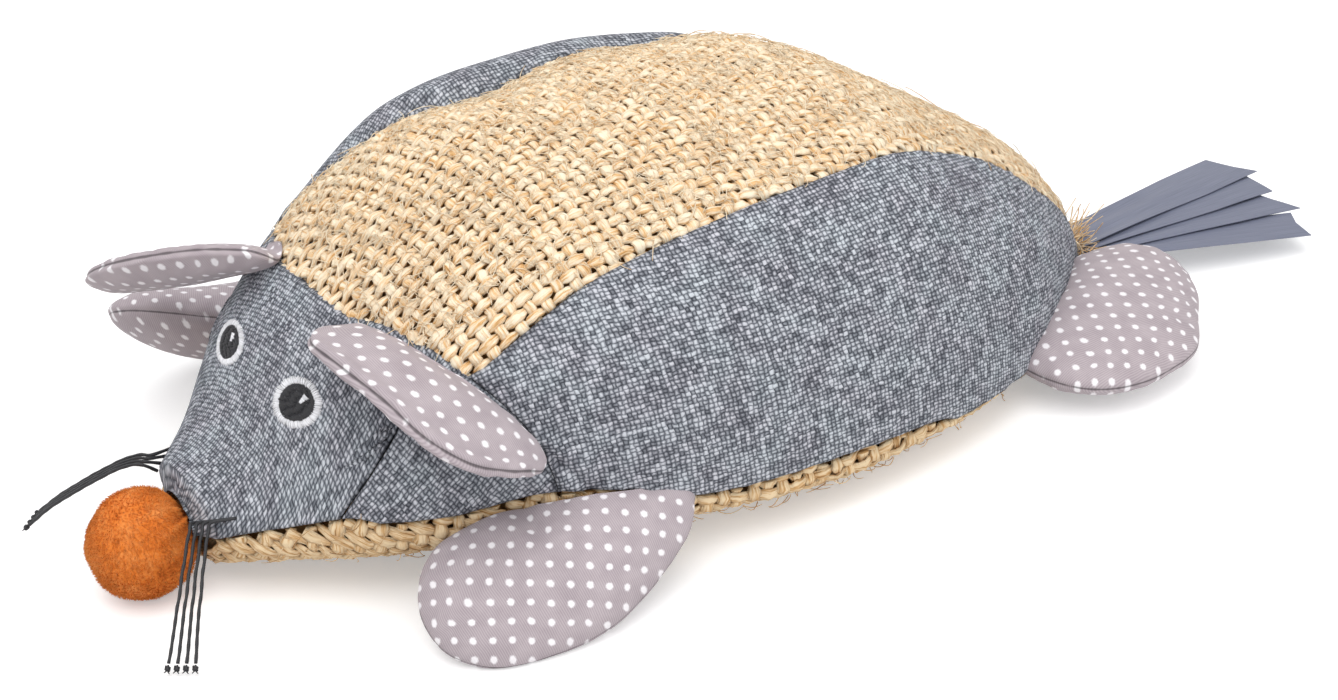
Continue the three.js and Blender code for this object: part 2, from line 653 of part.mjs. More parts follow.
// Whiskers: four waxed cords on each side come out together beside the snout, arch outwards and end
// in a knot. The middle of each bundle follows points chosen by hand, and its cords spread apart
// from where they leave the head panel towards their ends.
const whiskerSides = 8;
const whiskerSteps = 10;
const whiskerPitch = 2.5;
const whiskerRootSpread = 0.72;
const whiskerPlaces = [-1.5, -0.5, 0.5, 1.5];
const whiskerExitShares = [0.009, 0.0165, 0.024, 0.0315];
const whiskerExitAngle = 32;
const whiskerBundles = [
  {
    word: 'left',
    side: 1,
    spread: [0.63, 0.78, 0],
    pointShares: [
      [0.205, 0, 0.243], [0.226, -0.005, 0.234], [0.246, -0.011, 0.221], [0.266, -0.016, 0.205],
      [0.286, -0.021, 0.189], [0.306, -0.027, 0.172], [0.327, -0.032, 0.155], [0.347, -0.037, 0.137],
      [0.367, -0.043, 0.119], [0.386, -0.048, 0.101], [0.405, -0.053, 0.083], [0.424, -0.058, 0.065],
      [0.444, -0.063, 0.047], [0.462, -0.068, 0.03],
    ],
  },
  {
    word: 'right',
    side: -1,
    spread: [-0.71, 0.7, 0],
    pointShares: [
      [-0.204, 0.001, 0.26], [-0.227, -0.006, 0.26], [-0.25, -0.014, 0.252], [-0.274, -0.022, 0.24],
      [-0.297, -0.029, 0.225], [-0.319, -0.037, 0.21], [-0.343, -0.044, 0.194],
      [-0.366, -0.052, 0.177], [-0.389, -0.059, 0.16], [-0.412, -0.066, 0.143],
      [-0.434, -0.074, 0.125], [-0.455, -0.081, 0.106], [-0.476, -0.087, 0.086],
      [-0.495, -0.094, 0.067],
    ],
  },
];
const knotProfileShares = [[0, -1], [0.7, -0.75], [1, 0], [0.7, 0.75], [0, 1]];
const knotSections = 8;
for (const bundle of whiskerBundles) {
  whiskerPlaces.forEach((sideways, n) => {
    const last = bundle.pointShares.length - 1;
    const points = bundle.pointShares.map((shares, i) => {
      const apart = whiskerPitch * sideways * mix(whiskerRootSpread, 1, (i / last) ** 2);
      return bodyPlace(shares).addScaledVector(vector(bundle.spread), apart);
    });
    const exitAngle = bundle.side > 0 ? whiskerExitAngle : halfTurn - whiskerExitAngle;
    points.unshift(bodyPoint(whiskerExitShares[n], exitAngle, touchGap + whiskerDiameter / 2));
    const route = new THREE.CatmullRomCurve3(points);
    const section = new THREE.Shape();
    for (let j = 0; j < whiskerSides; j += 1) {
      const turn = (j / whiskerSides) * 2 * Math.PI;
      const x = (whiskerDiameter / 2) * Math.cos(turn);
      const y = (whiskerDiameter / 2) * Math.sin(turn);
      if (j === 0) section.moveTo(x, y);
      else section.lineTo(x, y);
    }
    const options = { steps: whiskerSteps, extrudePath: route, bevelEnabled: false };
    const cord = new THREE.ExtrudeGeometry(section, options);
    addPiece(`${bundle.word}_whisker_${n + 1}`, cord, waxedCord, 0.6);
    const profile = knotProfileShares.map(([r, z]) => new THREE.Vector2(r * knotRadius, z * knotRadius));
    const onwards = route.getTangentAt(1);
    const knot = new THREE.LatheGeometry(profile, knotSections);
    const reach = points[last + 1].clone().addScaledVector(onwards, knotRadius + touchGap);
    knot.applyQuaternion(new THREE.Quaternion().setFromUnitVectors(new THREE.Vector3(0, 1, 0), onwards));
    knot.translate(reach.x, reach.y, reach.z);
    addPiece(`${bundle.word}_whisker_knot_${n + 1}`, knot, waxedCord, 0.6);
  });
}

// The origin is the middle of the base of everything but the whiskers
const reach = new THREE.Box3();
for (const mesh of group.children) {
  if (!mesh.name.includes('whisker')) reach.expandByObject(mesh);
}
group.position.set(-(reach.min.x + reach.max.x) / 2, -(reach.min.y + reach.max.y) / 2, -reach.min.z);

export default group;
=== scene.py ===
import math

import bpy
import numpy as np
from mathutils import Matrix, Vector


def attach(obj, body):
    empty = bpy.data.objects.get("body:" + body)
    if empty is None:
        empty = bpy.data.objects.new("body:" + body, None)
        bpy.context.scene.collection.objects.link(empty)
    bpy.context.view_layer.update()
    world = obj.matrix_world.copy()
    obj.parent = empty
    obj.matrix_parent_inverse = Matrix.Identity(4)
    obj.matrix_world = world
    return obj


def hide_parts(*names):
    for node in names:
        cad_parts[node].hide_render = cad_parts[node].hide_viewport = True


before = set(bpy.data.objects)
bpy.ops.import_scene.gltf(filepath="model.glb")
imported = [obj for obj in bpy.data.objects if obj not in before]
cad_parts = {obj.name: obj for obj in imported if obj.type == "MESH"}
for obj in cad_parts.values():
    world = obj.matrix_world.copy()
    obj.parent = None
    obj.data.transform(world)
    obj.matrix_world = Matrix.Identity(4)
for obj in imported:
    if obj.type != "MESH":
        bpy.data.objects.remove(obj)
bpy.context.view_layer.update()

# Camera: a long lens at three-quarter view from above, in front of the mouse's left side.
# The mouse lies on its belly, the nose towards -Y and the tail towards +Y.
camera_place = Vector((0.5440, -0.3494, 0.3695))
camera_azimuth = math.radians(59.97)
camera_elevation = math.radians(27.99)
camera_roll = math.radians(-5.71)
camera_back = Vector((
    math.sin(camera_azimuth) * math.cos(camera_elevation),
    -math.cos(camera_azimuth) * math.cos(camera_elevation),
    math.sin(camera_elevation),
))
camera_right = Vector((math.cos(camera_azimuth), math.sin(camera_azimuth), 0))
camera_up = camera_back.cross(camera_right)
camera_x = camera_right * math.cos(camera_roll) + camera_up * math.sin(camera_roll)
camera_y = camera_up * math.cos(camera_roll) - camera_right * math.sin(camera_roll)
camera_turn = Matrix((camera_x, camera_y, camera_back)).transposed().to_4x4()
bpy.ops.object.camera_add()
camera = bpy.context.object
camera.name = "photo_camera"
camera.matrix_world = Matrix.Translation(camera_place) @ camera_turn
camera.data.lens = 62.15
camera.data.sensor_width = 36
camera.data.shift_x = 0.0414
camera.data.shift_y = -0.0395
bpy.context.scene.camera = camera

# Whiskers: waxed cord, four lengths on each side of the snout. They come out of the head cloth
# together, arch outwards and end in a knot whose cut ends have split apart.
# They are placed from the body's own measures in mm, with the snout at y = 0.
body_length = 300
body_half_width = 94
body_height = 111
body_size = np.array([body_half_width, body_length, body_height])
tail_end_shift = 36
tail_shift_start = 0.4
rest_flat_depth = 0.9
to_frame = np.array([0.5097, -183.9298, 0])
station_shares = [0, 0.055, 0.135, 0.24, 0.36, 0.5, 0.65, 0.8, 0.9, 0.96, 1]
half_width_shares = [0.18, 0.36, 0.6, 0.75, 0.92, 1, 0.94, 0.71, 0.45, 0.22, 0.06]
top_shares = [0.27, 0.34, 0.585, 0.85, 0.985, 1, 0.972, 0.77, 0.58, 0.4, 0.2]
waist_shares = [0.165, 0.175, 0.205, 0.21, 0.17, 0.135, 0.133, 0.131, 0.145, 0.14, 0.118]
underside_shares = [0.06, 0.062, 0.045, 0.018, 0, 0, 0, 0, 0.02, 0.045, 0.06]
upper_fullness = 2.3
lower_fullness = 1.8
share_step = 0.004
angle_step = 1.5


# A smooth curve through tabled values that never overshoots them
def smooth_value(places, values, place):
    places, values = np.array(places, float), np.array(values, float)
    at = np.clip(place, places[0], places[-1])
    i = np.clip(np.searchsorted(places, at) - 1, 0, len(places) - 2)
    slope = np.diff(values) / np.diff(places)
    product = slope[:-1] * slope[1:]
    total = np.where(product > 0, slope[:-1] + slope[1:], 1)
    tangent = np.concatenate([slope[:1], np.where(product > 0, 2 * product / total, 0), slope[-1:]])
    width = places[i + 1] - places[i]
    s = (at - places[i]) / width
    rise = s * s * (3 - 2 * s)
    bend = tangent[i] * width * s * (1 - s) ** 2 - tangent[i + 1] * width * s * s * (1 - s)
    return values[i] * (1 - rise) + values[i + 1] * rise + bend


def skin_section(share):
    tail_share = np.maximum(share - tail_shift_start, 0) / (1 - tail_shift_start)
    half_width = body_half_width * smooth_value(station_shares, half_width_shares, share)
    top, waist, underside = (
        body_height * smooth_value(station_shares, shares, share)
        for shares in (top_shares, waist_shares, underside_shares)
    )
    return tail_end_shift * tail_share ** 1.6, half_width, top, waist, underside


# The skin of the body: a share of its length, and an angle round it in degrees, from its left side
def skin_place(share, angle):
    share, angle = np.broadcast_arrays(np.asarray(share, float), np.asarray(angle, float))
    middle, half_width, top, waist, underside = skin_section(share)
    across, up = np.cos(np.radians(angle)), np.sin(np.radians(angle))
    power = 2 / np.where(up >= 0, upper_fullness, lower_fullness)
    x = middle + np.sign(across) * half_width * np.abs(across) ** power
    rise = np.abs(up) ** power
    z = np.where(up >= 0, waist + (top - waist) * rise, waist - (waist - underside) * rise)
    y = body_length * np.clip(share, 0, 1)
    return np.stack([x, y, np.maximum(z - rest_flat_depth, 0)], -1)


def normalised(vectors):
    return vectors / np.maximum(np.linalg.norm(vectors, axis=-1, keepdims=True), 1e-9)


def skin_normal(share, angle):
    share, angle = np.broadcast_arrays(np.asarray(share, float), np.asarray(angle, float))
    before, after = np.clip(share - share_step, 0, 1), np.clip(share + share_step, 0, 1)
    lengthwise = skin_place(after, angle) - skin_place(before, angle)
    around = skin_place(share, angle + angle_step) - skin_place(share, angle - angle_step)
    normal = normalised(np.cross(around, lengthwise))
    outwards = np.stack([np.cos(np.radians(angle)), np.zeros_like(angle), np.sin(np.radians(angle))], -1)
    return normal * np.where((normal * outwards).sum(-1, keepdims=True) < 0, -1, 1)


def skin_point(share, angle, outwards=0):
    return skin_place(share, angle) + skin_normal(share, angle) * np.asarray(outwards)[..., None]


# A curve through all the points, with evenly spread places on it
def smooth_route(points, count):
    points = np.array(points, float)
    ends = np.vstack([2 * points[0] - points[1], points, 2 * points[-1] - points[-2]])
    knots = np.concatenate([[0], np.cumsum(np.linalg.norm(np.diff(ends, axis=0), axis=1) ** 0.5)])
    at = np.linspace(knots[1], knots[-2], count)
    i = np.clip(np.searchsorted(knots, at, side="right") - 1, 1, len(points) - 1)
    t = [knots[i + k] for k in (-1, 0, 1, 2)]
    p = [ends[i + k] for k in (-1, 0, 1, 2)]

    def between(a, b, start, end):
        return a + (b - a) * ((at - start) / (end - start))[:, None]

    a = [between(p[k], p[k + 1], t[k], t[k + 1]) for k in range(3)]
    b = [between(a[k], a[k + 1], t[k], t[k + 2]) for k in range(2)]
    return between(b[0], b[1], t[1], t[2])


def arc_lengths(route):
    return np.concatenate([[0], np.cumsum(np.linalg.norm(np.diff(route, axis=0), axis=1))])


def set_values(mesh, name, values):
    data = mesh.attributes.new(name, "FLOAT", "POINT").data
    data.foreach_set("value", np.asarray(values, np.float32))


def add_mesh(name, points, faces, tones, uv=None):
    bpy.ops.object.select_all(action="DESELECT")
    mesh = bpy.data.meshes.new(name)
    mesh.from_pydata(np.asarray(points).tolist(), [], np.asarray(faces).tolist())
    if uv is not None:
        mesh.uv_layers.new(name="cloth").uv.foreach_set("vector", np.asarray(uv, np.float32).ravel())
    set_values(mesh, "tone", tones)
    mesh.shade_smooth()
    piece = bpy.data.objects.new(name, mesh)
    bpy.context.collection.objects.link(piece)
    return piece


# Tubes along routes in body mm. Each has a width and a height across its route, which may vary along
# it, and a direction for its height. The cloth map holds metres along it and metres round it, and
# each tube starts a little further round on it.
def add_tubes(name, routes, widths, heights, normals, sides, tones=None, ply=0, twist=0):
    points, faces, uv, tone_values = [], [], [], []
    first = 0
    turn = np.arange(sides) / sides * 2 * np.pi
    for k, route in enumerate(routes):
        count = len(route)
        forwards = normalised(np.gradient(route, axis=0))
        up = normalised(normals[k] - (normals[k] * forwards).sum(1, keepdims=True) * forwards)
        side = np.cross(forwards, up)
        width = np.broadcast_to(widths[k], count)[:, None, None] / 2
        height = np.broadcast_to(heights[k], count)[:, None, None] / 2
        length = arc_lengths(route) / 1000
        lobe = (1 + ply * np.cos(2 * (turn[None] - twist * length[:, None] * 1000 + k)))[..., None]
        ring = route[:, None] + side[:, None] * np.cos(turn)[None, :, None] * width * lobe
        ring = ring + up[:, None] * np.sin(turn)[None, :, None] * height * lobe
        points += [ring.reshape(-1, 3), route[[0, -1]]]
        rows, columns = np.arange(count - 1)[:, None] * sides, np.arange(sides)[None]
        a = first + rows + columns
        b = first + rows + (columns + 1) % sides
        faces.append(np.stack([a, b, b + sides, a + sides], -1).reshape(-1, 4))
        girth = float(np.mean(width) + np.mean(height)) * 3.14 / 1000
        map_start = k * 0.0137
        u0, u1 = np.broadcast_to(length[:-1, None], a.shape), np.broadcast_to(length[1:, None], a.shape)
        v0 = np.broadcast_to(columns / sides * girth, a.shape) + map_start
        v1 = v0 + girth / sides
        corner = [np.stack(pair, -1) for pair in ((u0, v0), (u0, v1), (u1, v1), (u1, v0))]
        uv.append(np.stack(corner, 2).reshape(-1, 2))
        tone = np.broadcast_to(0.5 if tones is None else tones[k], count)
        tone_values += [np.repeat(tone, sides), tone[[0, -1]]]
        centre = first + count * sides
        last = first + (count - 1) * sides
        for j in range(0, sides, 2):
            faces.append(np.array([[centre, first + (j + 2) % sides, first + j + 1, first + j]]))
            faces.append(np.array([[centre + 1, last + j, last + j + 1, last + (j + 2) % sides]]))
            uv.append(np.zeros((8, 2)) + [length[0], map_start])
        first += count * sides + 2
    points = (np.vstack(points) + to_frame) / 1000
    return add_mesh(name, points, np.vstack(faces), np.concatenate(tone_values), np.vstack(uv))


def linear(hex_colour):
    parts = [int(hex_colour[i:i + 2], 16) / 255 for i in (1, 3, 5)]
    return [p / 12.92 if p <= 0.04045 else ((p + 0.055) / 1.055) ** 2.4 for p in parts] + [1]


def new_material(name):
    material = bpy.data.materials.new(name)
    material.use_nodes = True
    return material, material.node_tree


def add_node(tree, kind, inputs, **settings):
    node = tree.nodes.new(kind)
    for name, value in settings.items():
        setattr(node, name, value)
    for name, value in inputs.items():
        if isinstance(value, bpy.types.NodeSocket):
            tree.links.new(value, node.inputs[name])
        else:
            node.inputs[name].default_value = value
    return node


def cloth_map(tree):
    return add_node(tree, "ShaderNodeUVMap", {}, uv_map="cloth").outputs[0]


def mapped(tree, place, scale, turn=0):
    inputs = {0: place, "Rotation": (0, 0, turn), "Scale": scale}
    return add_node(tree, "ShaderNodeMapping", inputs).outputs[0]


def stripes(tree, place, scale, **more):
    inputs = {0: place, "Scale": scale} | more
    return add_node(tree, "ShaderNodeTexWave", inputs).outputs["Fac"]


# A ramp from dark to pale over a value, from stops of a position and a colour
def colour_ramp(tree, value, *stops):
    node = add_node(tree, "ShaderNodeValToRGB", {0: value})
    elements = node.color_ramp.elements
    for end in (0, -1):
        elements[end].position = stops[end][0]
        elements[end].color = linear(stops[end][1])
    for position, colour in stops[1:-1]:
        elements.new(position).color = linear(colour)
    return node.outputs[0]


def finish_surface(tree, colour, height, strength, distance, constants):
    bump = add_node(tree, "ShaderNodeBump", {"Height": height, "Strength": strength, "Distance": distance})
    shader = tree.nodes["Principled BSDF"]
    tree.links.new(colour, shader.inputs["Base Color"])
    tree.links.new(bump.outputs[0], shader.inputs["Normal"])
    for name, value in constants.items():
        shader.inputs[name].default_value = value


# Waxed cotton cord: twisted strands under wax, nearly black, with a soft shine
waxed_cord, tree = new_material("waxed_cotton_cord")
strands = stripes(tree, mapped(tree, cloth_map(tree), (1800, 1800, 1), 0.6), 0.5, Distortion=1.5)
tone = colour_ramp(tree, strands, (0, "#0f0f12"), (1, "#26262b"))
finish_surface(tree, tone, strands, 0.5, 0.0001, {"Roughness": 0.5})

whisker_diameter = 0.9
whisker_pitch = 2.5
whisker_root_spread = 0.72
whisker_steps = 60
whisker_waver = 0.12
touch_gap = 0.3
whisker_exit_shares = [0.009, 0.0165, 0.024, 0.0315]
whisker_exit_angles = {"left": 32, "right": 148}
whisker_spreads = {"left": [0.63, 0.78, 0], "right": [-0.71, 0.7, 0]}
whisker_points = {
    "left": [
        [0.205, 0, 0.243], [0.226, -0.005, 0.234], [0.246, -0.011, 0.221], [0.266, -0.016, 0.205],
        [0.286, -0.021, 0.189], [0.306, -0.027, 0.172], [0.327, -0.032, 0.155], [0.347, -0.037, 0.137],
        [0.367, -0.043, 0.119], [0.386, -0.048, 0.101], [0.405, -0.053, 0.083], [0.424, -0.058, 0.065],
        [0.444, -0.063, 0.047], [0.462, -0.068, 0.03],
    ],
    "right": [
        [-0.204, 0.001, 0.26], [-0.227, -0.006, 0.26], [-0.25, -0.014, 0.252], [-0.274, -0.022, 0.24],
        [-0.297, -0.029, 0.225], [-0.319, -0.037, 0.21], [-0.343, -0.044, 0.194], [-0.366, -0.052, 0.177],
        [-0.389, -0.059, 0.16], [-0.412, -0.066, 0.143], [-0.434, -0.074, 0.125], [-0.455, -0.081, 0.106],
        [-0.476, -0.087, 0.086], [-0.495, -0.094, 0.067],
    ],
}
knot_radius = 1.05
knot_turns = 2.5
knot_winding_radius = 0.55
knot_cord_size = 0.62
knot_end_sizes = np.linspace(0.6, 0.25, 8)
knot_core_sizes = 0.85 * np.sin(np.linspace(0.5, 2.6, 8))
whisker_chance = np.random.default_rng(11)
for side in ("left", "right"):
    for n in range(4):
        line = np.array(whisker_points[side]) * body_size
        along = np.linspace(0, 1, len(line))[:, None]
        apart = whisker_pitch * (n - 1.5) * (whisker_root_spread + (1 - whisker_root_spread) * along ** 2)
        line = line + np.array(whisker_spreads[side]) * apart
        lift = touch_gap + whisker_diameter / 2
        exit_point = skin_point(whisker_exit_shares[n], whisker_exit_angles[side], lift)
        route = smooth_route(np.vstack([exit_point, line]), whisker_steps)
        run = np.linspace(0, 1, whisker_steps)
        route[:, 0] += whisker_waver * run * np.sin(9 * run + whisker_chance.uniform(0, 6))
        thickness = whisker_diameter * (1.12 + 0.1 * np.sin(70 * run + n))
        steady = np.tile([0.3, 0.5, 0.8], (whisker_steps, 1))
        whisker = add_tubes(f"{side}_whisker_cord_{n + 1}", [route], [thickness], [thickness], [steady], 8)

        # The knot: turns of the cord pulled tight, and two short cut ends
        onwards = normalised(route[-1] - route[-2])
        sideways = normalised(np.cross(onwards, [0.2, 0.3, 0.9]))
        third = np.cross(onwards, sideways)
        centre = line[-1] + onwards * (knot_radius + touch_gap)
        turn = np.linspace(0, 2 * np.pi * knot_turns, 46)[:, None]
        lift = np.linspace(-0.5, 0.5, 46)[:, None]
        round_knot = (sideways * np.cos(turn) + third * np.sin(turn)) * knot_winding_radius
        core = centre + onwards * np.linspace(-0.95, 0.6, 8)[:, None]
        routes = [centre + round_knot + onwards * lift, core]
        t = np.linspace(0, 1, 8)[:, None]
        for bend in (-1, 1):
            lean = sideways * bend * (0.45 * t + 0.35 * t * t)
            lean = lean + third * 0.3 * whisker_chance.uniform(-1, 1) * t
            routes.append(centre + onwards * (0.3 + 1.1 * t) + lean)
        sizes = [knot_cord_size, knot_core_sizes, knot_end_sizes, knot_end_sizes]
        steady = [np.tile(onwards + sideways * 0.3, (len(r), 1)) for r in routes]
        knot = add_tubes(f"{side}_whisker_tied_end_{n + 1}", routes, sizes, sizes, steady, 8)
        for piece, node in ((whisker, f"{side}_whisker_{n + 1}"), (knot, f"{side}_whisker_knot_{n + 1}")):
            piece.data.materials.append(waxed_cord)
            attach(piece, "toy_body")
            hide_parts(node)

# Back panel: coarse sisal hopsack, woven over and under from single hard yarns. The lengthwise
# yarns lie closer together than the crosswise ones, and both run a little askew to the body.
back_seam_shares = [0.24, 0.36, 0.5, 0.65, 0.8, 0.9, 0.96, 1]
back_seam_angles = [35, 44, 49, 52, 57, 47, 42, 34]
right_back_seam_shares = [0.24, 0.3, 0.35, 0.39, 0.42, 0.47, 0.53, 0.59, 0.64, 0.7, 0.8, 0.9, 0.96, 1]
right_back_seam_angles = [50, 66, 71, 74, 74, 72.5, 72, 70, 70, 66, 60, 47, 42, 34]
right_valley_shares = [0.24, 0.3, 0.35, 0.39, 0.423, 0.465, 0.51, 0.55, 0.59, 0.61, 0.645, 0.7, 1]
right_valley_depths = [0, 1.5, 4, 5.5, 5.5, 4.2, 2.2, 2.2, 3.8, 3.3, 1.4, 0.5, 0]
valley_sisal_width = 13
valley_cloth_width = 4.5
belly_seam_shares = [0, 0.05, 0.1, 0.13, 0.2, 0.27, 0.33, 0.4, 0.5, 0.65, 0.75, 0.85, 0.93, 1]
belly_seam_angles = [7, 16, 13, 6.5, 3.5, 4, 3.7, 1.5, 1.8, 1, -5, -8, -7, -6]
neck_seam_angles = [-10, 5, 12, 36, 63, 76, 90]
neck_seam_shares = [0.276, 0.273, 0.268, 0.225, 0.187, 0.172, 0.17]
tail_end_share = 0.998
back_radius = 75
back_under_flank = 0.9
back_under_head = 2.4
nose_radius = 15.6
nose_centre = np.array([0, -11.5, 15.6])
snout_turn_start = 3.5
snout_turn_length = 2.8
snout_cloth_gap = 0.9


def folded(angle):
    return np.where(angle > 90, 180 - angle, angle)


def back_seam(share):
    return smooth_value(back_seam_shares, back_seam_angles, share)


def right_back_seam(share):
    return smooth_value(right_back_seam_shares, right_back_seam_angles, share)


def belly_seam(share):
    return smooth_value(belly_seam_shares, belly_seam_angles, share)


def neck_seam(angle):
    return smooth_value(neck_seam_angles, neck_seam_shares, folded(angle))


# The angle that a length round the body takes up there
def gap_angle(share, length):
    middle, half_width, top, waist, underside = skin_section(share)
    return np.degrees(length / np.maximum((half_width + top / 2) / 2, nose_radius))


# The stuffing makes the skin rise and fall a little, the same under every panel. The right back seam
# is sewn tight, so that the sisal sinks towards it and the cloth bulges over it.
def soft_waves(share, angle):
    y, a = share * body_length, np.radians(angle)
    wave = 0.7 * np.sin(y / 17 + 2.2 * a + 0.6) * np.sin(3.1 * a + 0.4) + 0.4 * np.sin(y / 9.5 - 3 * a + 2)
    wave = wave * np.clip((share - 0.05) / 0.2, 0, 1) * np.clip((1 - share) / 0.1, 0, 1)
    away = (folded(angle) - right_back_seam(share)) / gap_angle(share, 1)
    depth = smooth_value(right_valley_shares, right_valley_depths, share)
    width = np.where(away > 0, valley_sisal_width, valley_cloth_width)
    return wave + np.where(angle > 90, -depth * np.exp(-(away / width) ** 2), 0)


# At the snout the panels turn in round the nose ball, whose middle lies in front of them
def drawn_to_nose(points):
    pull = np.clip((snout_turn_start - points[..., 1:2]) / snout_turn_length, 0, 1)
    from_axis = points - nose_centre
    from_axis[..., 1] = 0
    size = np.maximum(np.linalg.norm(from_axis, axis=-1, keepdims=True), 1e-6)
    goal = np.minimum(size, np.sqrt(nose_radius ** 2 - (nose_centre[1] - 1) ** 2) + snout_cloth_gap)
    return points + from_axis * (goal / size - 1) * pull


def grid_lengths(points, axis):
    lengths = np.cumsum(np.linalg.norm(np.diff(points, axis=axis), axis=2), axis=axis)
    return np.insert(lengths, 0, 0, axis=axis)


# A yarn lattice on the skin: places are given by yarn counts, lengthwise yarns first. Its table holds
# the angle at every share of the length and every half mm round the body.
class Weave:
    rows, columns, widest, per_mm = 240, 420, 190, 2

    def __init__(self, centre_angle, reach, pitches, slants, middle_y):
        self.pitches, self.slants, self.middle_y = pitches, np.tan(np.radians(slants)), middle_y
        shares = np.linspace(0, 1, self.rows + 1)
        angles = centre_angle + np.linspace(-reach, reach, self.columns + 1)
        arcs = grid_lengths(skin_place(shares[:, None], angles[None]), 1)
        arcs = arcs[:, self.columns // 2][:, None] - arcs
        across = np.linspace(-self.widest, self.widest, 2 * self.widest * self.per_mm + 1)
        self.table = np.array([np.interp(-across, -arc, angles) for arc in arcs])

    def place(self, a, b):
        cross, along = self.slants
        q = (a * self.pitches[0] + along * b * self.pitches[1]) / (1 - cross * along)
        share = (self.middle_y + b * self.pitches[1] + cross * q) / body_length
        r = np.clip(np.clip(share, 0, 1) * self.rows, 0, self.rows - 0.001)
        c = np.clip((q + self.widest) * self.per_mm, 0, 2 * self.widest * self.per_mm - 0.001)
        i, j = r.astype(int), c.astype(int)
        fr, fc = r - i, c - j
        upper, lower = (self.table[k, j] * (1 - fc) + self.table[k, j + 1] * fc for k in (i, i + 1))
        return share, upper * (1 - fr) + lower * fr


yarn_size_spread = 0.08
yarn_drift = 0.055
yarn_swell_over = 0.26
yarn_ply_depth = 0.13
yarn_twist = 0.9
yarn_sink = 1.3
yarn_sink_reach = 3
yarn_floor_gap = 0.25


def weave_panel(names, weave, counts, seam_distance, sizes, depth, seed, per_crossing=5, sides=8):
    chance = np.random.default_rng(seed)
    pieces = []
    for direction in (0, 1):
        yarns, reach = counts if direction == 0 else counts[::-1]
        routes, widths, heights, normals, tones = [], [], [], [], []
        width, height, rise = sizes[direction]
        b = np.arange(-reach * per_crossing, reach * per_crossing + 1) / per_crossing
        crossings = np.arange(-reach - 1, reach + 2)
        for i in range(-yarns, yarns + 1):
            size = 1 + chance.normal(0, yarn_size_spread)
            drift, fatness = (np.interp(b, crossings, chance.normal(0, 1, len(crossings))) for _ in range(2))
            lie = i + yarn_drift * drift
            share, angle = weave.place(*((lie, b) if direction == 0 else (b, lie)))
            over = np.cos(np.pi * b) * (1 if (i + direction) % 2 == 0 else -1)
            distance = seam_distance(share, angle)
            inside = distance > 0
            if inside.sum() < 3:
                continue
            sink = yarn_sink * np.clip(1 - distance / yarn_sink_reach, 0, 1) ** 2
            outwards = depth + rise * over + 0.12 * fatness - sink + soft_waves(share, angle)
            route = drawn_to_nose(skin_point(share, angle, outwards))
            route[:, 2] = np.maximum(route[:, 2], height / 2 + yarn_floor_gap)
            normal = skin_normal(share, angle)
            swell = 1 + yarn_swell_over * over + 0.08 * fatness
            starts = np.flatnonzero(np.diff(np.concatenate([[0], inside.astype(int), [0]])))
            for s, e in zip(starts[::2], starts[1::2]):
                if e - s < 3:
                    continue
                routes.append(route[s:e])
                normals.append(normal[s:e])
                widths.append(width * size * swell[s:e])
                heights.append(height * size * (1 + 0.05 * fatness[s:e]))
                # Tone: random for each yarn, plus painted shade where it dips under a crossing yarn and
                # painted light where it floats over one
                tones.append(np.clip(0.5 + 0.09 * fatness[s:e] + 0.07 * drift[s:e] + 0.1 * over[s:e], 0, 1))
        pieces.append(add_tubes(
            names[direction], routes, widths, heights, normals, sides, tones, yarn_ply_depth, yarn_twist,
        ))
    return pieces


def back_distance(share, angle):
    edge = folded(angle) - np.where(angle > 90, right_back_seam(share), back_seam(share))
    side = edge * np.radians(1) * back_radius + back_under_flank
    front = (share - neck_seam(angle)) * body_length + back_under_head
    rear = (tail_end_share - share) * body_length
    return np.minimum(np.minimum(side, front), rear)


def maths(tree, operation, *values):
    return add_node(tree, "ShaderNodeMath", dict(enumerate(values)), operation=operation).outputs[0]


# Adds up values, each times its own factor, from a starting level
def weighted_sum(tree, level, *parts):
    for value, factor in parts:
        level = maths(tree, "MULTIPLY_ADD", value, factor, level)
    return level


def noise(tree, place, scale, detail, roughness=0.5, output="Fac"):
    inputs = {0: place, "Scale": scale, "Detail": detail, "Roughness": roughness}
    return add_node(tree, "ShaderNodeTexNoise", inputs).outputs[output]


def point_value(tree, name):
    return add_node(tree, "ShaderNodeAttribute", {}, attribute_name=name).outputs["Fac"]


# Sisal yarn: stiff pale straw fibres laid together with a slow twist, so that streaks about 1 mm apart run
# slantwise along each yarn. Its tone paints shade where it lies deep and light where it floats on top.
def sisal_material(name, dark, middle, pale):
    material, tree = new_material(name)
    cloth = cloth_map(tree)
    strands = noise(tree, mapped(tree, cloth, (120, 1450, 1), 0.4), 1, 4, 0.7)
    patches = noise(tree, mapped(tree, cloth, (240, 500, 1)), 1, 2)
    shade = weighted_sum(tree, -1.4, (strands, 3), (point_value(tree, "tone"), 0.6), (patches, 0.7))
    colour = colour_ramp(tree, shade, (0.15, dark), (0.5, middle), (0.95, pale))
    finish_surface(tree, colour, strands, 1, 0.0008, {"Roughness": 0.72, "Specular IOR Level": 0.35})
    return material


hair_joints = 6
hair_sizes = np.linspace(0.32, 0.18, hair_joints)
hair_curl = 1.1
hair_lift = 0.4


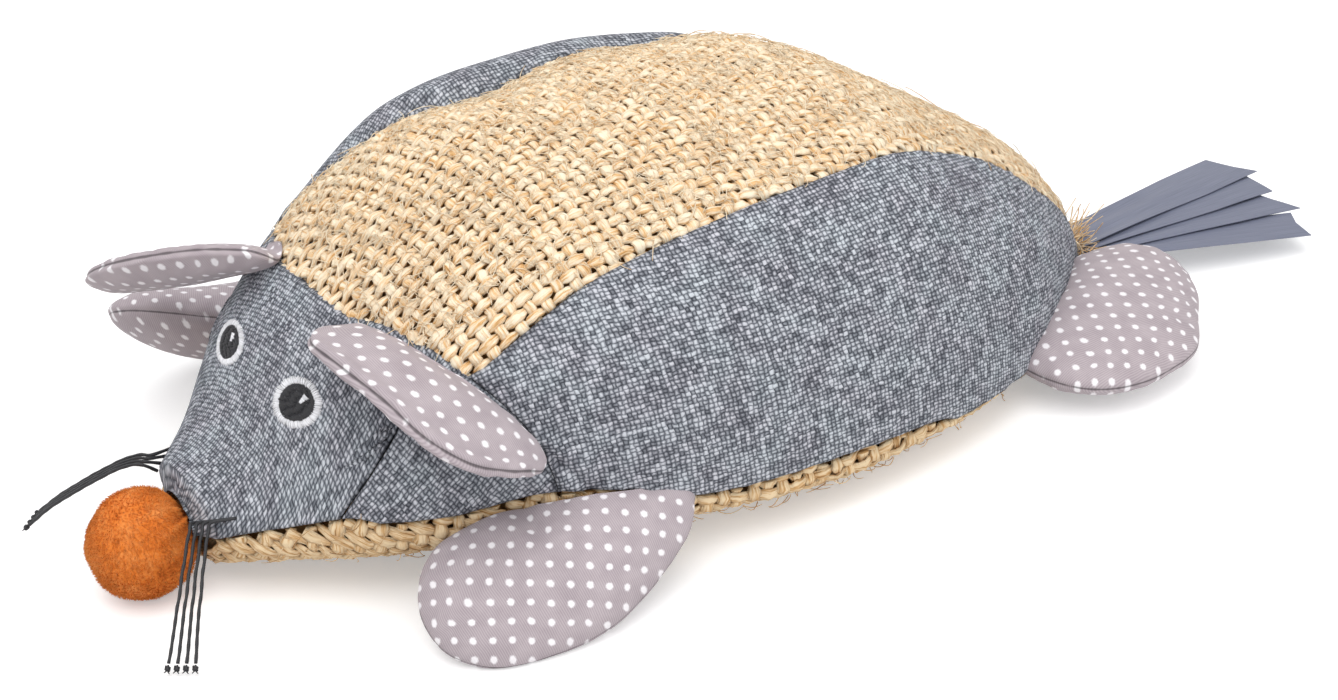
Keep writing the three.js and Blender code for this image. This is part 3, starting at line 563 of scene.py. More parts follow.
# Single stiff hairs that have worked loose from the yarns and lie on them or stand off a little
def stray_fibres(name, seed, places, lengths, lift, material, tone=0.8):
    chance = np.random.default_rng(seed)
    routes, normals, tones = [], [], []
    for share, angle in zip(*places):
        length = chance.uniform(*lengths)
        heading = chance.uniform(0, 2 * np.pi) + np.linspace(0, chance.normal(0, hair_curl), hair_joints)
        steps = np.full(hair_joints, length / (hair_joints - 1))
        steps[0] = 0
        shares = share + np.cumsum(np.cos(heading) * steps) / body_length
        angles = angle + np.cumsum(np.sin(heading) * steps) * gap_angle(share, 1)
        rise = chance.uniform(0.2, 1) * lift * np.sin(np.linspace(0.1, chance.uniform(1.4, 3), hair_joints))
        on_body = np.clip(shares, 0.002, 0.998)
        route = skin_point(on_body, angles, hair_lift + rise + soft_waves(shares, angles))
        route[:, 2] = np.maximum(route[:, 2], 0.3)
        routes.append(route)
        normals.append(skin_normal(on_body, angles))
        tones.append(chance.uniform(tone - 0.25, tone + 0.2))
    sizes = [hair_sizes] * len(routes)
    hairs = add_tubes(name, routes, sizes, sizes, normals, 4, tones)
    hairs.data.materials.append(material)
    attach(hairs, "toy_body")


# The cloth of one part. Sizes are each direction's yarn width, yarn height and rise over a crossing.
def sisal_panel(part, colours, weave, counts, seam_distance, sizes, depth, seed, **finer):
    names = (f"{part}_lengthwise_yarns", f"{part}_crosswise_yarns")
    material = sisal_material(f"sisal_yarn_{part}", *colours)
    yarns = weave_panel(names, weave, counts, seam_distance, sizes, depth, seed, **finer)
    for piece in yarns:
        piece.data.materials.append(material)
        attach(piece, "toy_body")
    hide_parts(f"{part}_sisal_panel")
    return material


sisal_back = sisal_panel(
    "back", ("#bb823f", "#eabf88", "#fdeed3"), Weave(90, 72, (3.15, 4.1), (8.5, 5), 160), (42, 34),
    back_distance, ((2.4, 1.35, 0.85), (2.9, 1.4, 0.9)), -1.0, 5,
)
hair_chance = np.random.default_rng(8)
for name, count, lengths, lift in (
    ("back_lying_fibres", 4200, (2, 6.5), 0.9), ("back_stray_fibres", 170, (5, 14), 2.6),
):
    hair_shares = hair_chance.uniform(0.18, 0.97, count)
    hair_angles = hair_chance.uniform(46, 124, count)
    inside = back_distance(hair_shares, hair_angles) > 2
    stray_fibres(name, 9, (hair_shares[inside], hair_angles[inside]), lengths, lift, sisal_back)

# Belly panel: the same sisal cloth, browner and duller, sewn to the head and the flanks. Its yarns
# are thicker and lie further apart, and it is flat where the mouse rests.
belly_radius = 60
belly_front_share = 0.006
belly_hair_count = 160


def belly_distance(share, angle):
    edge = belly_seam(share) - np.where(angle < -90, -180 - angle, angle)
    front = (share - belly_front_share) * body_length
    rear = (tail_end_share - share) * body_length
    return np.minimum(np.minimum(edge * np.radians(1) * belly_radius, front), rear)


sisal_belly = sisal_panel(
    "belly", ("#805429", "#cda069", "#f0d7b0"), Weave(-90, 108, (3.6, 4.4), (-6, -4), 150), (48, 40),
    belly_distance, ((3.2, 1.6, 0.8), (3.6, 1.7, 0.8)), -1.1, 6, per_crossing=3, sides=6,
)
hair_shares = hair_chance.uniform(0.03, 0.95, belly_hair_count)
hair_angles = belly_seam(hair_shares) - hair_chance.uniform(4, 30, belly_hair_count)
on_left = hair_chance.uniform(0, 1, belly_hair_count) < 0.75
hair_angles = np.where(on_left, hair_angles, -180 - hair_angles)
stray_fibres(
    "belly_stray_fibres", 10, (hair_shares, hair_angles), (3, 9), 2.5, sisal_belly, tone=0.3,
)

# Head, cheeks and flanks: grey melange cloth in a linen look, cut as five panels. They are sewn from
# inside, so each edge rolls under at its seam, and each panel's threads run their own way.
cheek_seam_angles = [0, 13, 34, 38]
cheek_seam_shares = [0.088, 0.098, 0.158, 0.19]
cheek_top_angle = 37.8
seam_gap = 0.3
linen_edge_steps = np.array([0, 0.15, 0.4, 0.8, 1.3, 2, 3, 4.2])
linen_thickness = 0.9
linen_lift = 0.55
puff_reach = 11
seam_roll_depth = 1.15
pucker_height = 0.16
pucker_start = 0.8
pucker_reach = 3.5
pucker_waves = (0.35, 0.9)


def cheek_seam(angle):
    return smooth_value(cheek_seam_angles, cheek_seam_shares, folded(angle))


def divisions(length, step):
    count = max(int((length - 2 * linen_edge_steps[-1]) / step), 2)
    middle = np.linspace(linen_edge_steps[-1], length - linen_edge_steps[-1], count)
    return np.concatenate([linen_edge_steps[:-1], middle, length - linen_edge_steps[:-1][::-1]]) / length


# Where a place on the skin lies on the flat cloth: mm round it and along it from a starting place
def cloth_place(share, angle, reference, start):
    part = np.linspace(0, 1, 25)[:, None, None]
    around = skin_place(share, reference + (angle - reference) * part)
    along = skin_place(start + (share - start) * part, angle)
    q, p = (np.linalg.norm(np.diff(line, axis=0), axis=-1).sum(0) for line in (around, along))
    return q * np.sign(angle - reference), p * np.sign(share - start)


def turned_map(q, p, degrees):
    c, s = math.cos(math.radians(degrees)), math.sin(math.radians(degrees))
    return np.stack([q * c - p * s, q * s + p * c], -1)


def add_primitive(name, operator, **settings):
    bpy.ops.object.select_all(action="DESELECT")
    operator(**settings)
    piece = bpy.context.object
    piece.name = piece.data.name = name
    return piece


def mesh_points(mesh):
    places = np.zeros(len(mesh.vertices) * 3)
    mesh.vertices.foreach_get("co", places)
    return places.reshape(-1, 3)


def set_body_points(mesh, points):
    mesh.vertices.foreach_set("co", ((points + to_frame) / 1000).ravel())


def set_cloth_map(mesh, places):
    corner = np.zeros(len(mesh.loops), np.int32)
    mesh.loops.foreach_get("vertex_index", corner)
    uv = (places[corner] / 1000).astype(np.float32)
    mesh.uv_layers.new(name="cloth").uv.foreach_set("vector", uv.ravel())


# Runs mesh operators on every face of the active piece
def edit_all(*steps):
    bpy.ops.object.mode_set(mode="EDIT")
    bpy.ops.mesh.select_all(action="SELECT")
    for operator, settings in steps:
        operator(**settings)
    bpy.ops.mesh.select_all(action="DESELECT")
    bpy.ops.object.mode_set(mode="OBJECT")


def thicken(piece, thickness, offset):
    solid = piece.modifiers.new("cloth_thickness", "SOLIDIFY")
    solid.thickness = thickness / 1000
    solid.offset = offset
    bpy.ops.object.modifier_apply(modifier=solid.name)


def linen_panel(name, size, step, seams, mirrored, puff, rolls, turn, origin, seed, folds=None):
    front, rear, lower, upper = seams
    u, v = divisions(size[0], step), divisions(size[1], step)
    panel = add_primitive(
        name, bpy.ops.mesh.primitive_grid_add,
        x_subdivisions=len(v) - 1, y_subdivisions=len(u) - 1, size=1, calc_uvs=False,
    )
    flat = mesh_points(panel.data) + 0.5
    column = np.rint(flat[:, 0] * (len(v) - 1)).astype(int)
    row = np.rint(flat[:, 1] * (len(u) - 1)).astype(int)
    uu, vv = np.meshgrid(u, v, indexing="ij")
    share = np.full(uu.shape, 0.5)
    angle = lower(share) * (1 - vv) + upper(share) * vv
    for _ in range(8):
        share = front(angle) * (1 - uu) + rear(angle) * uu
        angle = lower(share) * (1 - vv) + upper(share) * vv
    on_side = 180 - angle if mirrored else angle
    base = skin_place(share, on_side)
    along, across = grid_lengths(base, 0), grid_lengths(base, 1)
    distances = [along, along[-1:] - along, across, across[:, -1:] - across]
    nearest = np.minimum.reduce(distances)
    chance = np.random.default_rng(seed)
    rise = np.full(uu.shape, 9.0)
    for distance, roll in zip(distances, rolls):
        inwards = 1 - np.clip(distance / roll, 0, 1)
        rise = np.minimum(rise, roll * (np.sqrt(1 - inwards ** 2) - 1) * seam_roll_depth)
    waver = np.zeros(uu.shape)
    for _ in range(5):
        wave = np.array([chance.uniform(*pucker_waves) for _ in range(2)]) * chance.choice([-1, 1], 2)
        waver += np.sin(along * wave[0] + across * wave[1] + chance.uniform(0, 6))
    pucker = pucker_height * waver * np.exp(-nearest / pucker_reach) * np.clip(nearest / pucker_start, 0, 1)
    swell = puff * (1 - np.exp(-nearest / puff_reach)) + pucker
    outwards = linen_lift + rise + swell + soft_waves(share, on_side)
    if folds:
        outwards = outwards + folds(share, angle)
    points = drawn_to_nose(skin_point(share, on_side, outwards))
    set_body_points(panel.data, points[row, column])
    set_cloth_map(panel.data, turned_map(*cloth_place(share, angle, *origin), turn)[row, column])
    set_values(panel.data, "seam", nearest[row, column])
    if not mirrored:
        edit_all((bpy.ops.mesh.flip_normals, {}))
    bpy.ops.object.shade_smooth()
    thicken(panel, linen_thickness, -1)
    panel.data.materials.append(grey_linen)
    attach(panel, "toy_body")
    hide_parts(name.replace("cloth", "panel"))


def vector_maths(tree, operation, *values, **more):
    inputs = dict(enumerate(values)) | more
    return add_node(tree, "ShaderNodeVectorMath", inputs, operation=operation).outputs[0]


# Moves each place by a random amount up to the reach, so that threads waver and prints fray
def shaken(tree, place, scale, detail, reach, roughness=0.5):
    shake = noise(tree, place, scale, detail, roughness, "Color")
    shake = vector_maths(tree, "SUBTRACT", shake, (0.5, 0.5, 0.5))
    return vector_maths(tree, "MULTIPLY_ADD", shake, (reach, reach, 0), place)


def either(tree, pick, first, second):
    return add_node(tree, "ShaderNodeMix", {0: pick, 2: first, 3: second}, data_type="FLOAT").outputs[0]


# Melange linen-look cloth: plain weave, threads 1.25 mm apart one way and 1.4 mm the other. Each float shows
# as a short pale dash over dark gaps, light and shade painted from the thread relief, and each thread is a
# mix of pale and charcoal fibres.
grey_linen, tree = new_material("melange_linen_look_cloth")
cloth = cloth_map(tree)
threads = mapped(tree, shaken(tree, cloth, 150, 4, 0.0022, 0.6), (800, 715, 1))
split = add_node(tree, "ShaderNodeSeparateXYZ", {0: threads}).outputs
counts, profiles, tones = [], [], []
for axis, drift in ((0, 31.7), (1, 57.3)):
    count = maths(tree, "FLOOR", split[axis])
    bow = maths(tree, "MULTIPLY", maths(tree, "FRACT", split[axis]), math.pi)
    run = maths(tree, "MULTIPLY", split[1 - axis], 0.33)
    where = add_node(tree, "ShaderNodeCombineXYZ", {0: count, 1: run, 2: drift}).outputs[0]
    counts.append(count)
    profiles.append(maths(tree, "SINE", bow))
    tones.append(noise(tree, vector_maths(tree, "MULTIPLY", where, (7.31, 1, 1)), 1, 3, 0.8))
half = maths(tree, "MULTIPLY", maths(tree, "ADD", *counts), 0.5)
pick = maths(tree, "MULTIPLY", maths(tree, "FRACT", half), 2)
stripe = maths(tree, "POWER", either(tree, pick, profiles[0], profiles[1]), 1.15)
crown = maths(tree, "MULTIPLY_ADD", either(tree, pick, profiles[1], profiles[0]), 0.5, 0.5)
relief = maths(tree, "MULTIPLY", stripe, crown)
crossing = add_node(tree, "ShaderNodeCombineXYZ", {0: counts[0], 1: counts[1]}).outputs[0]
each = add_node(tree, "ShaderNodeTexWhiteNoise", {0: crossing}).outputs["Value"]
fibres = noise(tree, mapped(tree, cloth, (2200, 2200, 1)), 1, 2)
cloudy = noise(tree, cloth, 75, 3)
# The relief paints shade into the gaps between threads and light onto each float's crown
level = weighted_sum(
    tree, -1.32,
    (either(tree, pick, *tones), 1.7), (relief, 0.75), (each, 0.42), (fibres, 0.35), (cloudy, 0.35),
)
colour = colour_ramp(tree, level, (0.05, "#42454c"), (0.5, "#80848b"), (0.95, "#cdd0d6"))
tint = colour_ramp(tree, cloudy, (0.35, "#fffafd"), (0.65, "#fafdfe"))
coloured = vector_maths(tree, "MULTIPLY", colour, tint)
# Painted shade: the cloth darkens within 1.6 mm of its seams, where the rolled edges sink into a groove
near_seam = {"Value": point_value(tree, "seam"), "From Max": 1.6, "To Min": 0.65}
painted_seam_shade = add_node(tree, "ShaderNodeMapRange", near_seam).outputs[0]
shaded = vector_maths(tree, "SCALE", coloured, Scale=painted_seam_shade)
finish_surface(tree, shaded, relief, 0.8, 0.0003, {"Roughness": 0.85, "Specular IOR Level": 0.25})

flank_size, head_size, cheek_size = (232, 96), (66, 150), (48, 42)
flank_puffs = {"left": 1.6, "right": 2.8}
head_puff = 0.9
cheek_puff = 1.2
head_front_share = 0.002
head_end_angle = 36.6
head_end_turn = 1.2
crease_shares = (0.2696, 0.2991)
crease_angles = (12.6, 4.2)
crease_mm_per_degree = 1.6
crease_depth = 1.9
crease_ridge = 0.8


def cheek_front(angle):
    return cheek_seam(angle) + seam_gap / body_length


def flank_bottom(share):
    return belly_seam(share) + gap_angle(share, seam_gap / 2)


def flank_top(seam):
    return lambda share: seam(share) - gap_angle(share, seam_gap / 2)


def constant(value):
    return lambda place: np.full(np.shape(place), value)


# The flank is creased where it meets the cheek, from the seam's middle down to the belly seam
def flank_crease(share, angle):
    along = np.clip((share - crease_shares[0]) / (crease_shares[1] - crease_shares[0]), 0, 1)
    middle = crease_angles[0] + (crease_angles[1] - crease_angles[0]) * along
    before = np.minimum(share - crease_shares[0], 0) * body_length
    away = np.hypot((angle - middle) * crease_mm_per_degree, before)
    fold = crease_depth * np.clip(1 - (share - 0.262) / 0.05, 0, 1) * np.exp(-(away / 2.2) ** 2)
    ridge = crease_ridge * np.clip(1 - (share - 0.27) / 0.06, 0, 1) * np.exp(-((away - 5) / 3.5) ** 2)
    return ridge - fold


# The head's rear edge follows the cheek seam, and above the cheek the neck seam
def head_end(angle):
    above = np.clip((folded(angle) - head_end_angle) / head_end_turn, 0, 1)
    return cheek_seam(angle) * (1 - above) + neck_seam(angle) * above


for side, seam, seed in (("left", back_seam, 21), ("right", right_back_seam, 22)):
    linen_panel(
        f"{side}_flank_cloth", flank_size, 1.4,
        (neck_seam, constant(tail_end_share), flank_bottom, flank_top(seam)),
        side == "right", flank_puffs[side], (0.5, 1.3, 1.5, 1.4), 3, (25, 0.45), seed, folds=flank_crease,
    )
linen_panel(
    "head_cloth", head_size, 1.2,
    (constant(head_front_share), head_end, flank_bottom, lambda share: 180 - flank_bottom(share)),
    False, head_puff, (1.2, 1.6, 1.5, 1.5), 3, (90, 0.17), 23,
)
for side, seed in (("left", 24), ("right", 25)):
    linen_panel(
        f"{side}_cheek_cloth", cheek_size, 1.1,
        (cheek_front, neck_seam, flank_bottom, constant(cheek_top_angle)),
        side == "right", cheek_puff, (1.6, 0.5, 1.5, 1.2), 28, (20, 0.18), seed,
    )

# Filling: crimped polyester fibre, packed into the head and the body and closed in by the panels. It is
# coloured warm brown as painted shade, so that it shows dark between the yarns, and it gives way where the
# seams pull in.
filling_inset = 0.0007
filling_valley_depth = 0.0075
filling_valley_width = 0.026
polyester_fibre, tree = new_material("polyester_filling_in_painted_shade")
tufts = noise(tree, add_node(tree, "ShaderNodeTexCoord", {}).outputs["Object"], 180, 6)
# Painted shade: warm brown instead of the fibre's own pale colour, so that the gaps between the yarns look
# dark
colour = colour_ramp(tree, tufts, (0, "#94652f"), (1, "#c39a66"))
finish_surface(tree, colour, tufts, 1, 0.002, {"Roughness": 0.95})
seam_shares = np.linspace(0.24, 0.99, 120)
seam_angles = 180 - right_back_seam(seam_shares)
seam_points = (skin_point(seam_shares, seam_angles) + to_frame) / 1000
seam_inwards = -skin_normal(seam_shares, seam_angles)
for name in ("body_filling", "head_filling"):
    bpy.ops.object.select_all(action="DESELECT")
    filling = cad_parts[name].copy()
    filling.name = name.replace("filling", "fibre_filling")
    filling.data = filling.data.copy()
    bpy.context.scene.collection.objects.link(filling)
    bpy.context.view_layer.objects.active = filling
    filling.select_set(True)
    edit_all(
        (bpy.ops.mesh.remove_doubles, {"threshold": 1e-5}),
        (bpy.ops.transform.shrink_fatten, {"value": -filling_inset}),
    )
    points = mesh_points(filling.data)
    away = np.linalg.norm(points[:, None] - seam_points[None], axis=2)
    depth = filling_valley_depth * np.exp(-(away.min(1) / filling_valley_width) ** 2)
    points = points + seam_inwards[away.argmin(1)] * depth[:, None]
    filling.data.vertices.foreach_set("co", points.ravel())
    filling.data.materials.clear()
    filling.data.materials.append(polyester_fibre)
    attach(filling, "toy_body")
    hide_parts(name)

# Nose: a ball of orange short-pile plush, stuffed, gathered at its back and sewn onto the snout.
# Small folds run forwards from the gathers, and the pile softens its outline.
gather_spread = 0.95
gather_pull = 1.1
nose_axis = normalised(np.array([0, 0.97, 0.24]))
nose_axes = np.array([[1, 0, 0], np.cross([1, 0, 0], nose_axis), nose_axis])


# Points on the nose from points of a round ball, whose pole turns to the gathers at the back
def nose_surface(ball):
    polar = np.arccos(np.clip(ball[:, 2], -1, 1))
    turn = np.arctan2(ball[:, 1], ball[:, 0])
    gather = np.exp(-(polar / gather_spread) ** 2)
    fold = 0.55 * np.sin(turn * 15 + 1.1 * np.sin(turn * 3)) + 0.35 * np.sin(turn * 26 + 2)
    lumps = 0.3 * np.sin(ball[:, 0] * 5 + 1) * np.sin(ball[:, 1] * 4 + ball[:, 2] * 3)
    lumps += 0.14 * np.sin(ball[:, 1] * 11 + ball[:, 2] * 8)
    reach = nose_radius - gather_pull * gather + lumps
    reach += fold * gather * np.sin(np.minimum(polar * 2, np.pi / 2))
    outwards = ball @ nose_axes
    # The third value is painted shade, strongest in the fold valleys by the gathers
    return nose_centre + reach[:, None] * outwards, outwards, np.clip(gather * (0.5 - fold), 0, 1)


nose = add_primitive(
    "nose_plush_ball", bpy.ops.mesh.primitive_uv_sphere_add, segments=128, ring_count=80, radius=1,
)
points, outwards, painted_fold_shade = nose_surface(mesh_points(nose.data))
points[:, 2] = np.maximum(points[:, 2], 0.15)
set_body_points(nose.data, points)
# Painted shade for the fold valleys by the gathers, read by the plush
set_values(nose.data, "gather", painted_fold_shade)
set_values(nose.data, "tone", np.full(len(points), 0.4))
bpy.ops.object.shade_smooth()

# The pile: fine tufts that lie over in drifts and fringe the outline
tuft_count = 11000
tuft_radius = 0.15
tuft_lengths = (0.7, 1.25)
pile_chance = np.random.default_rng(33)
height = pile_chance.uniform(-1, 0.82, tuft_count)
turn = pile_chance.uniform(0, 2 * np.pi, tuft_count)
level = np.sqrt(1 - height ** 2)
root, outwards, painted_fold_shade = nose_surface(np.stack([level * np.cos(turn), level * np.sin(turn), height], -1))
x, y, z = root.T
drift = np.stack([np.sin(y / 3 + 1), 0.6 * np.sin(x / 4), -0.9 + np.sin(z / 5)], -1)
drift = drift + pile_chance.normal(0, 0.45, (tuft_count, 3))
lean = normalised(outwards + 0.9 * drift - (drift * outwards).sum(1, keepdims=True) * outwards)
side = normalised(np.cross(lean, [0.3, 0.2, 0.93]))
third = np.cross(lean, side)
tufts = []
for corner in range(3):
    turned = 2 * np.pi * corner / 3
    tufts.append(root - 0.1 * outwards + tuft_radius * (math.cos(turned) * side + math.sin(turned) * third))
tufts.append(root + lean * pile_chance.uniform(*tuft_lengths, (tuft_count, 1)))
tufts = np.stack(tufts, 1).reshape(-1, 3)
tufts[:, 2] = np.maximum(tufts[:, 2], 0.1)
first = np.arange(tuft_count)[:, None] * 4
faces = np.stack([first + face for face in ([0, 1, 3], [1, 2, 3], [2, 0, 3], [0, 2, 1])], 1).reshape(-1, 3)
# Each tuft's tone is random, with painted shade at its root and painted light at its tip
tones = np.repeat(pile_chance.uniform(0, 1, tuft_count), 4) + np.tile([-0.1, -0.1, -0.1, 0.2], tuft_count)
nose_pile = add_mesh("nose_plush_pile", (tufts + to_frame) / 1000, faces, tones)

# Short-pile polyester plush: the pile lies in small drifts, darker where it parts, and painted shade darkens
# it in the fold valleys by the gathers
orange_plush, tree = new_material("short_pile_plush")
place = add_node(tree, "ShaderNodeTexCoord", {}).outputs["Object"]
drifts = noise(tree, place, 160, 4, 0.6)
pile = noise(tree, place, 1500, 3)
level = weighted_sum(
    tree, -0.09,
    (drifts, 0.9), (pile, 0.5), (point_value(tree, "gather"), -0.45), (point_value(tree, "tone"), 0.3),
)
colour = colour_ramp(tree, level, (0.3, "#a9521f"), (0.65, "#dc7a31"), (1, "#ec9a55"))
finish_surface(tree, colour, pile, 0.6, 0.0003, {
    "Roughness": 0.95, "Specular IOR Level": 0.1, "Sheen Weight": 0.2, "Sheen Roughness": 0.5,
    "Sheen Tint": linear("#ffb878"),
})
nose.data.materials.append(orange_plush)
nose_pile.data.materials.append(orange_plush)
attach(nose_pile, "toy_body")
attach(nose, "toy_body")
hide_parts("nose_ball")

# Eyes: machine embroidery on the head cloth. Satin stitches fill a black pupil from side to side, a
# white ring lies round it in short radial stitches, and a few white ones make the highlight.
eye_share = 0.112
eye_angle = 67
eye_radius = 6.6
pupil_radius = 4.9
eye_stretches = {"left": [[1.14, -0.14], [-0.14, 1.44]], "right": [[1, -0.1], [-0.1, 1.5]]}
highlight_radius = 1.1
highlight_places = {"left": (1.85, -0.84), "right": (1.62, 1.3)}
ring_stitches = 150
ring_lean = 0.05
pupil_rows = 46
longest_stitch = 3.2
cut_lengths = (1.8, 2.9)
highlight_rows = 9


def embroidery_thread(name, colour_hex, roughness):
    material, tree = new_material(name)
    ply = stripes(tree, mapped(tree, cloth_map(tree), (5000, 5000, 1), 0.7), 0.4)
    tone = {"Value": point_value(tree, "tone"), "To Min": 0.78, "To Max": 1.12}
    shade = add_node(tree, "ShaderNodeMapRange", tone).outputs[0]
    tinted = vector_maths(tree, "SCALE", linear(colour_hex)[:3], Scale=shade)
    finish_surface(tree, tinted, ply, 0.5, 0.00006, {"Roughness": roughness})
    return material


white_thread = embroidery_thread("white_rayon_thread", "#f0f0f4", 0.45)
black_thread = embroidery_thread("black_rayon_thread", "#1b1b20", 0.42)
eye_middle = skin_place(eye_share, eye_angle)
mm_per_share = np.linalg.norm(skin_place(eye_share + share_step, eye_angle) - eye_middle) / share_step
mm_per_angle = np.linalg.norm(skin_place(eye_share, eye_angle + angle_step) - eye_middle) / angle_step
head_lift = linen_lift + head_puff * (1 - math.exp(-20 / puff_reach))
stitch_chance = np.random.default_rng(31)


def eye_point(side, a, b, lift):
    a, b = np.tensordot(eye_stretches[side], np.stack([a, b]), 1)
    share = eye_share + a / mm_per_share
    angle = eye_angle + b / mm_per_angle
    angle = angle if side == "left" else 180 - angle
    return skin_point(share, angle, head_lift + soft_waves(share, angle) + lift), skin_normal(share, angle)


def add_stitches(name, side, lines, width, lift, thread):
    routes, normals, sizes, tones = [], [], [], []
    t = np.linspace(0, 1, 6)
    bow = np.sin(np.clip(t, 0.02, 0.98) * np.pi) ** 0.5
    for start, end in lines:
        a, b = (start[k] + (end[k] - start[k]) * t for k in (0, 1))
        route, normal = eye_point(side, a, b, lift * bow - 0.05)
        routes.append(route)
        normals.append(normal)
        sizes.append(width * (0.75 + 0.25 * bow))
        tones.append(stitch_chance.uniform(0, 1))
    heights = [0.8 * size for size in sizes]
    stitches = add_tubes(f"{side}_eye_{name}_stitches", routes, sizes, heights, normals, 6, tones)
    stitches.data.materials.append(white_thread if thread == "white_thread" else black_thread)
    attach(stitches, "toy_body")
    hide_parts(f"{side}_eye_{name}")


for side in ("left", "right"):
    ring = []
    for k in range(ring_stitches):
        turn = (k + stitch_chance.uniform(-0.3, 0.3)) / ring_stitches * 2 * math.pi
        inner = pupil_radius - 0.25 + stitch_chance.uniform(-0.2, 0.25)
        outer = eye_radius + stitch_chance.uniform(-0.25, 0.2)
        ring.append((
            (inner * math.cos(turn), inner * math.sin(turn)),
            (outer * math.cos(turn + ring_lean), outer * math.sin(turn + ring_lean)),
        ))
    rows = []
    for a in np.linspace(0.1 - pupil_radius, pupil_radius - 0.1, pupil_rows):
        reach = math.sqrt(max(pupil_radius ** 2 - a * a, 0.05)) + stitch_chance.uniform(-0.12, 0.12)
        cuts = [-reach]
        while cuts[-1] < reach - longest_stitch:
            cuts.append(cuts[-1] + stitch_chance.uniform(*cut_lengths))
        cuts.append(reach)
        rows += [((a, low), (a, high)) for low, high in zip(cuts, cuts[1:])]
    shine = []
    shine_a, shine_b = highlight_places[side]
    for part in np.linspace(0, 1, highlight_rows):
        a = shine_a + (2 * part - 1) * highlight_radius
        reach = highlight_radius * (0.4 + 0.5 * part) * stitch_chance.uniform(0.85, 1.1)
        shine.append(((a, shine_b - reach), (a + 0.1, shine_b + reach)))
    add_stitches("pupil", side, rows, 0.3, 0.45, "black_thread")
    add_stitches("ring", side, ring, 0.32, 0.55, "white_thread")
    add_stitches("highlight", side, shine, 0.32, 0.75, "white_thread")

# Ears: printed cotton poplin, two faces sewn right sides together round their outline, turned and
# stuffed, then sewn into the head seam at their narrow end. The left one lies back along the head
# and the right one stands out forwards.
ear_length = 66.5
ear_thickness = 11.5
ear_seam_roll = 2.8
ear_clearance = 1.6
ears = {
    "left_ear": {
        "spine": [
            [0.223, 0.153, 0.662], [0.394, 0.165, 0.658], [0.553, 0.185, 0.617], [0.702, 0.21, 0.536],
            [0.83, 0.235, 0.446], [0.894, 0.247, 0.401],
        ],
        "across": [0.56, -0.82, 0.1],
        "sewn_in": 5,
        "print_turn": 40,
        "outline": [
            [0, 0], [0.012, 0.12], [0.08, 0.22], [0.244, 0.29], [0.435, 0.34], [0.618, 0.37], [0.78, 0.325],
            [0.9, 0.22], [0.968, 0.11], [1, 0], [0.965, -0.075], [0.9, -0.11], [0.78, -0.13], [0.618, -0.13],
            [0.435, -0.11], [0.244, -0.1], [0.08, -0.08], [0.012, -0.05],
        ],
    },
    "right_ear": {
        "spine": [
            [-0.202, 0.167, 0.685], [-0.372, 0.142, 0.657], [-0.543, 0.112, 0.61], [-0.713, 0.085, 0.55],
            [-0.872, 0.058, 0.48],
        ],
        "across": [0.35, -0.84, 0.43],
        "sewn_in": 0,
        "print_turn": -12,
        "outline": [
            [0, 0], [0.02, 0.09], [0.13, 0.16], [0.331, 0.218], [0.526, 0.256], [0.707, 0.256],
            [0.857, 0.213], [0.962, 0.123], [1, 0], [0.962, -0.123], [0.857, -0.213], [0.707, -0.256],
            [0.526, -0.256], [0.331, -0.218], [0.13, -0.16], [0.02, -0.09],
        ],
    },
}


# A closed curve through the corners, cut into equal lengths from the first corner on
def closed_outline(corners, count):
    corners = np.array(corners, float)
    dense = smooth_route(np.vstack([corners[-2:], corners, corners[:3]]), 60 * (len(corners) + 4))
    start = np.argmin(np.linalg.norm(dense[:400] - corners[0], axis=1))
    tail = dense[start + 60:]
    end = start + 60 + np.argmin(np.linalg.norm(tail - corners[0], axis=1))
    dense = dense[start:end + 1]
    length = arc_lengths(dense)
    at = np.linspace(0, length[-1], count, endpoint=False)
    return np.stack([np.interp(at, length, dense[:, k]) for k in range(2)], -1)


pad_seam_inset = 0.5
pad_pucker_height = 0.2
pad_pucker_start = 1.5
pad_sim_scale = 10
pad_sim_steps = 20
pad_sim_limit = 4
sim_outline_hold = 0.88
sim_outline_part = 0.4
sim_dome_part = 0.45
sim_waver_part = 0.15
pad_sim_settings = {
    "quality": 5, "mass": 0.25, "tension_stiffness": 25, "compression_stiffness": 25, "shear_stiffness": 15,
    "bending_stiffness": 0.4, "use_pressure": True, "uniform_pressure_force": 5,
}


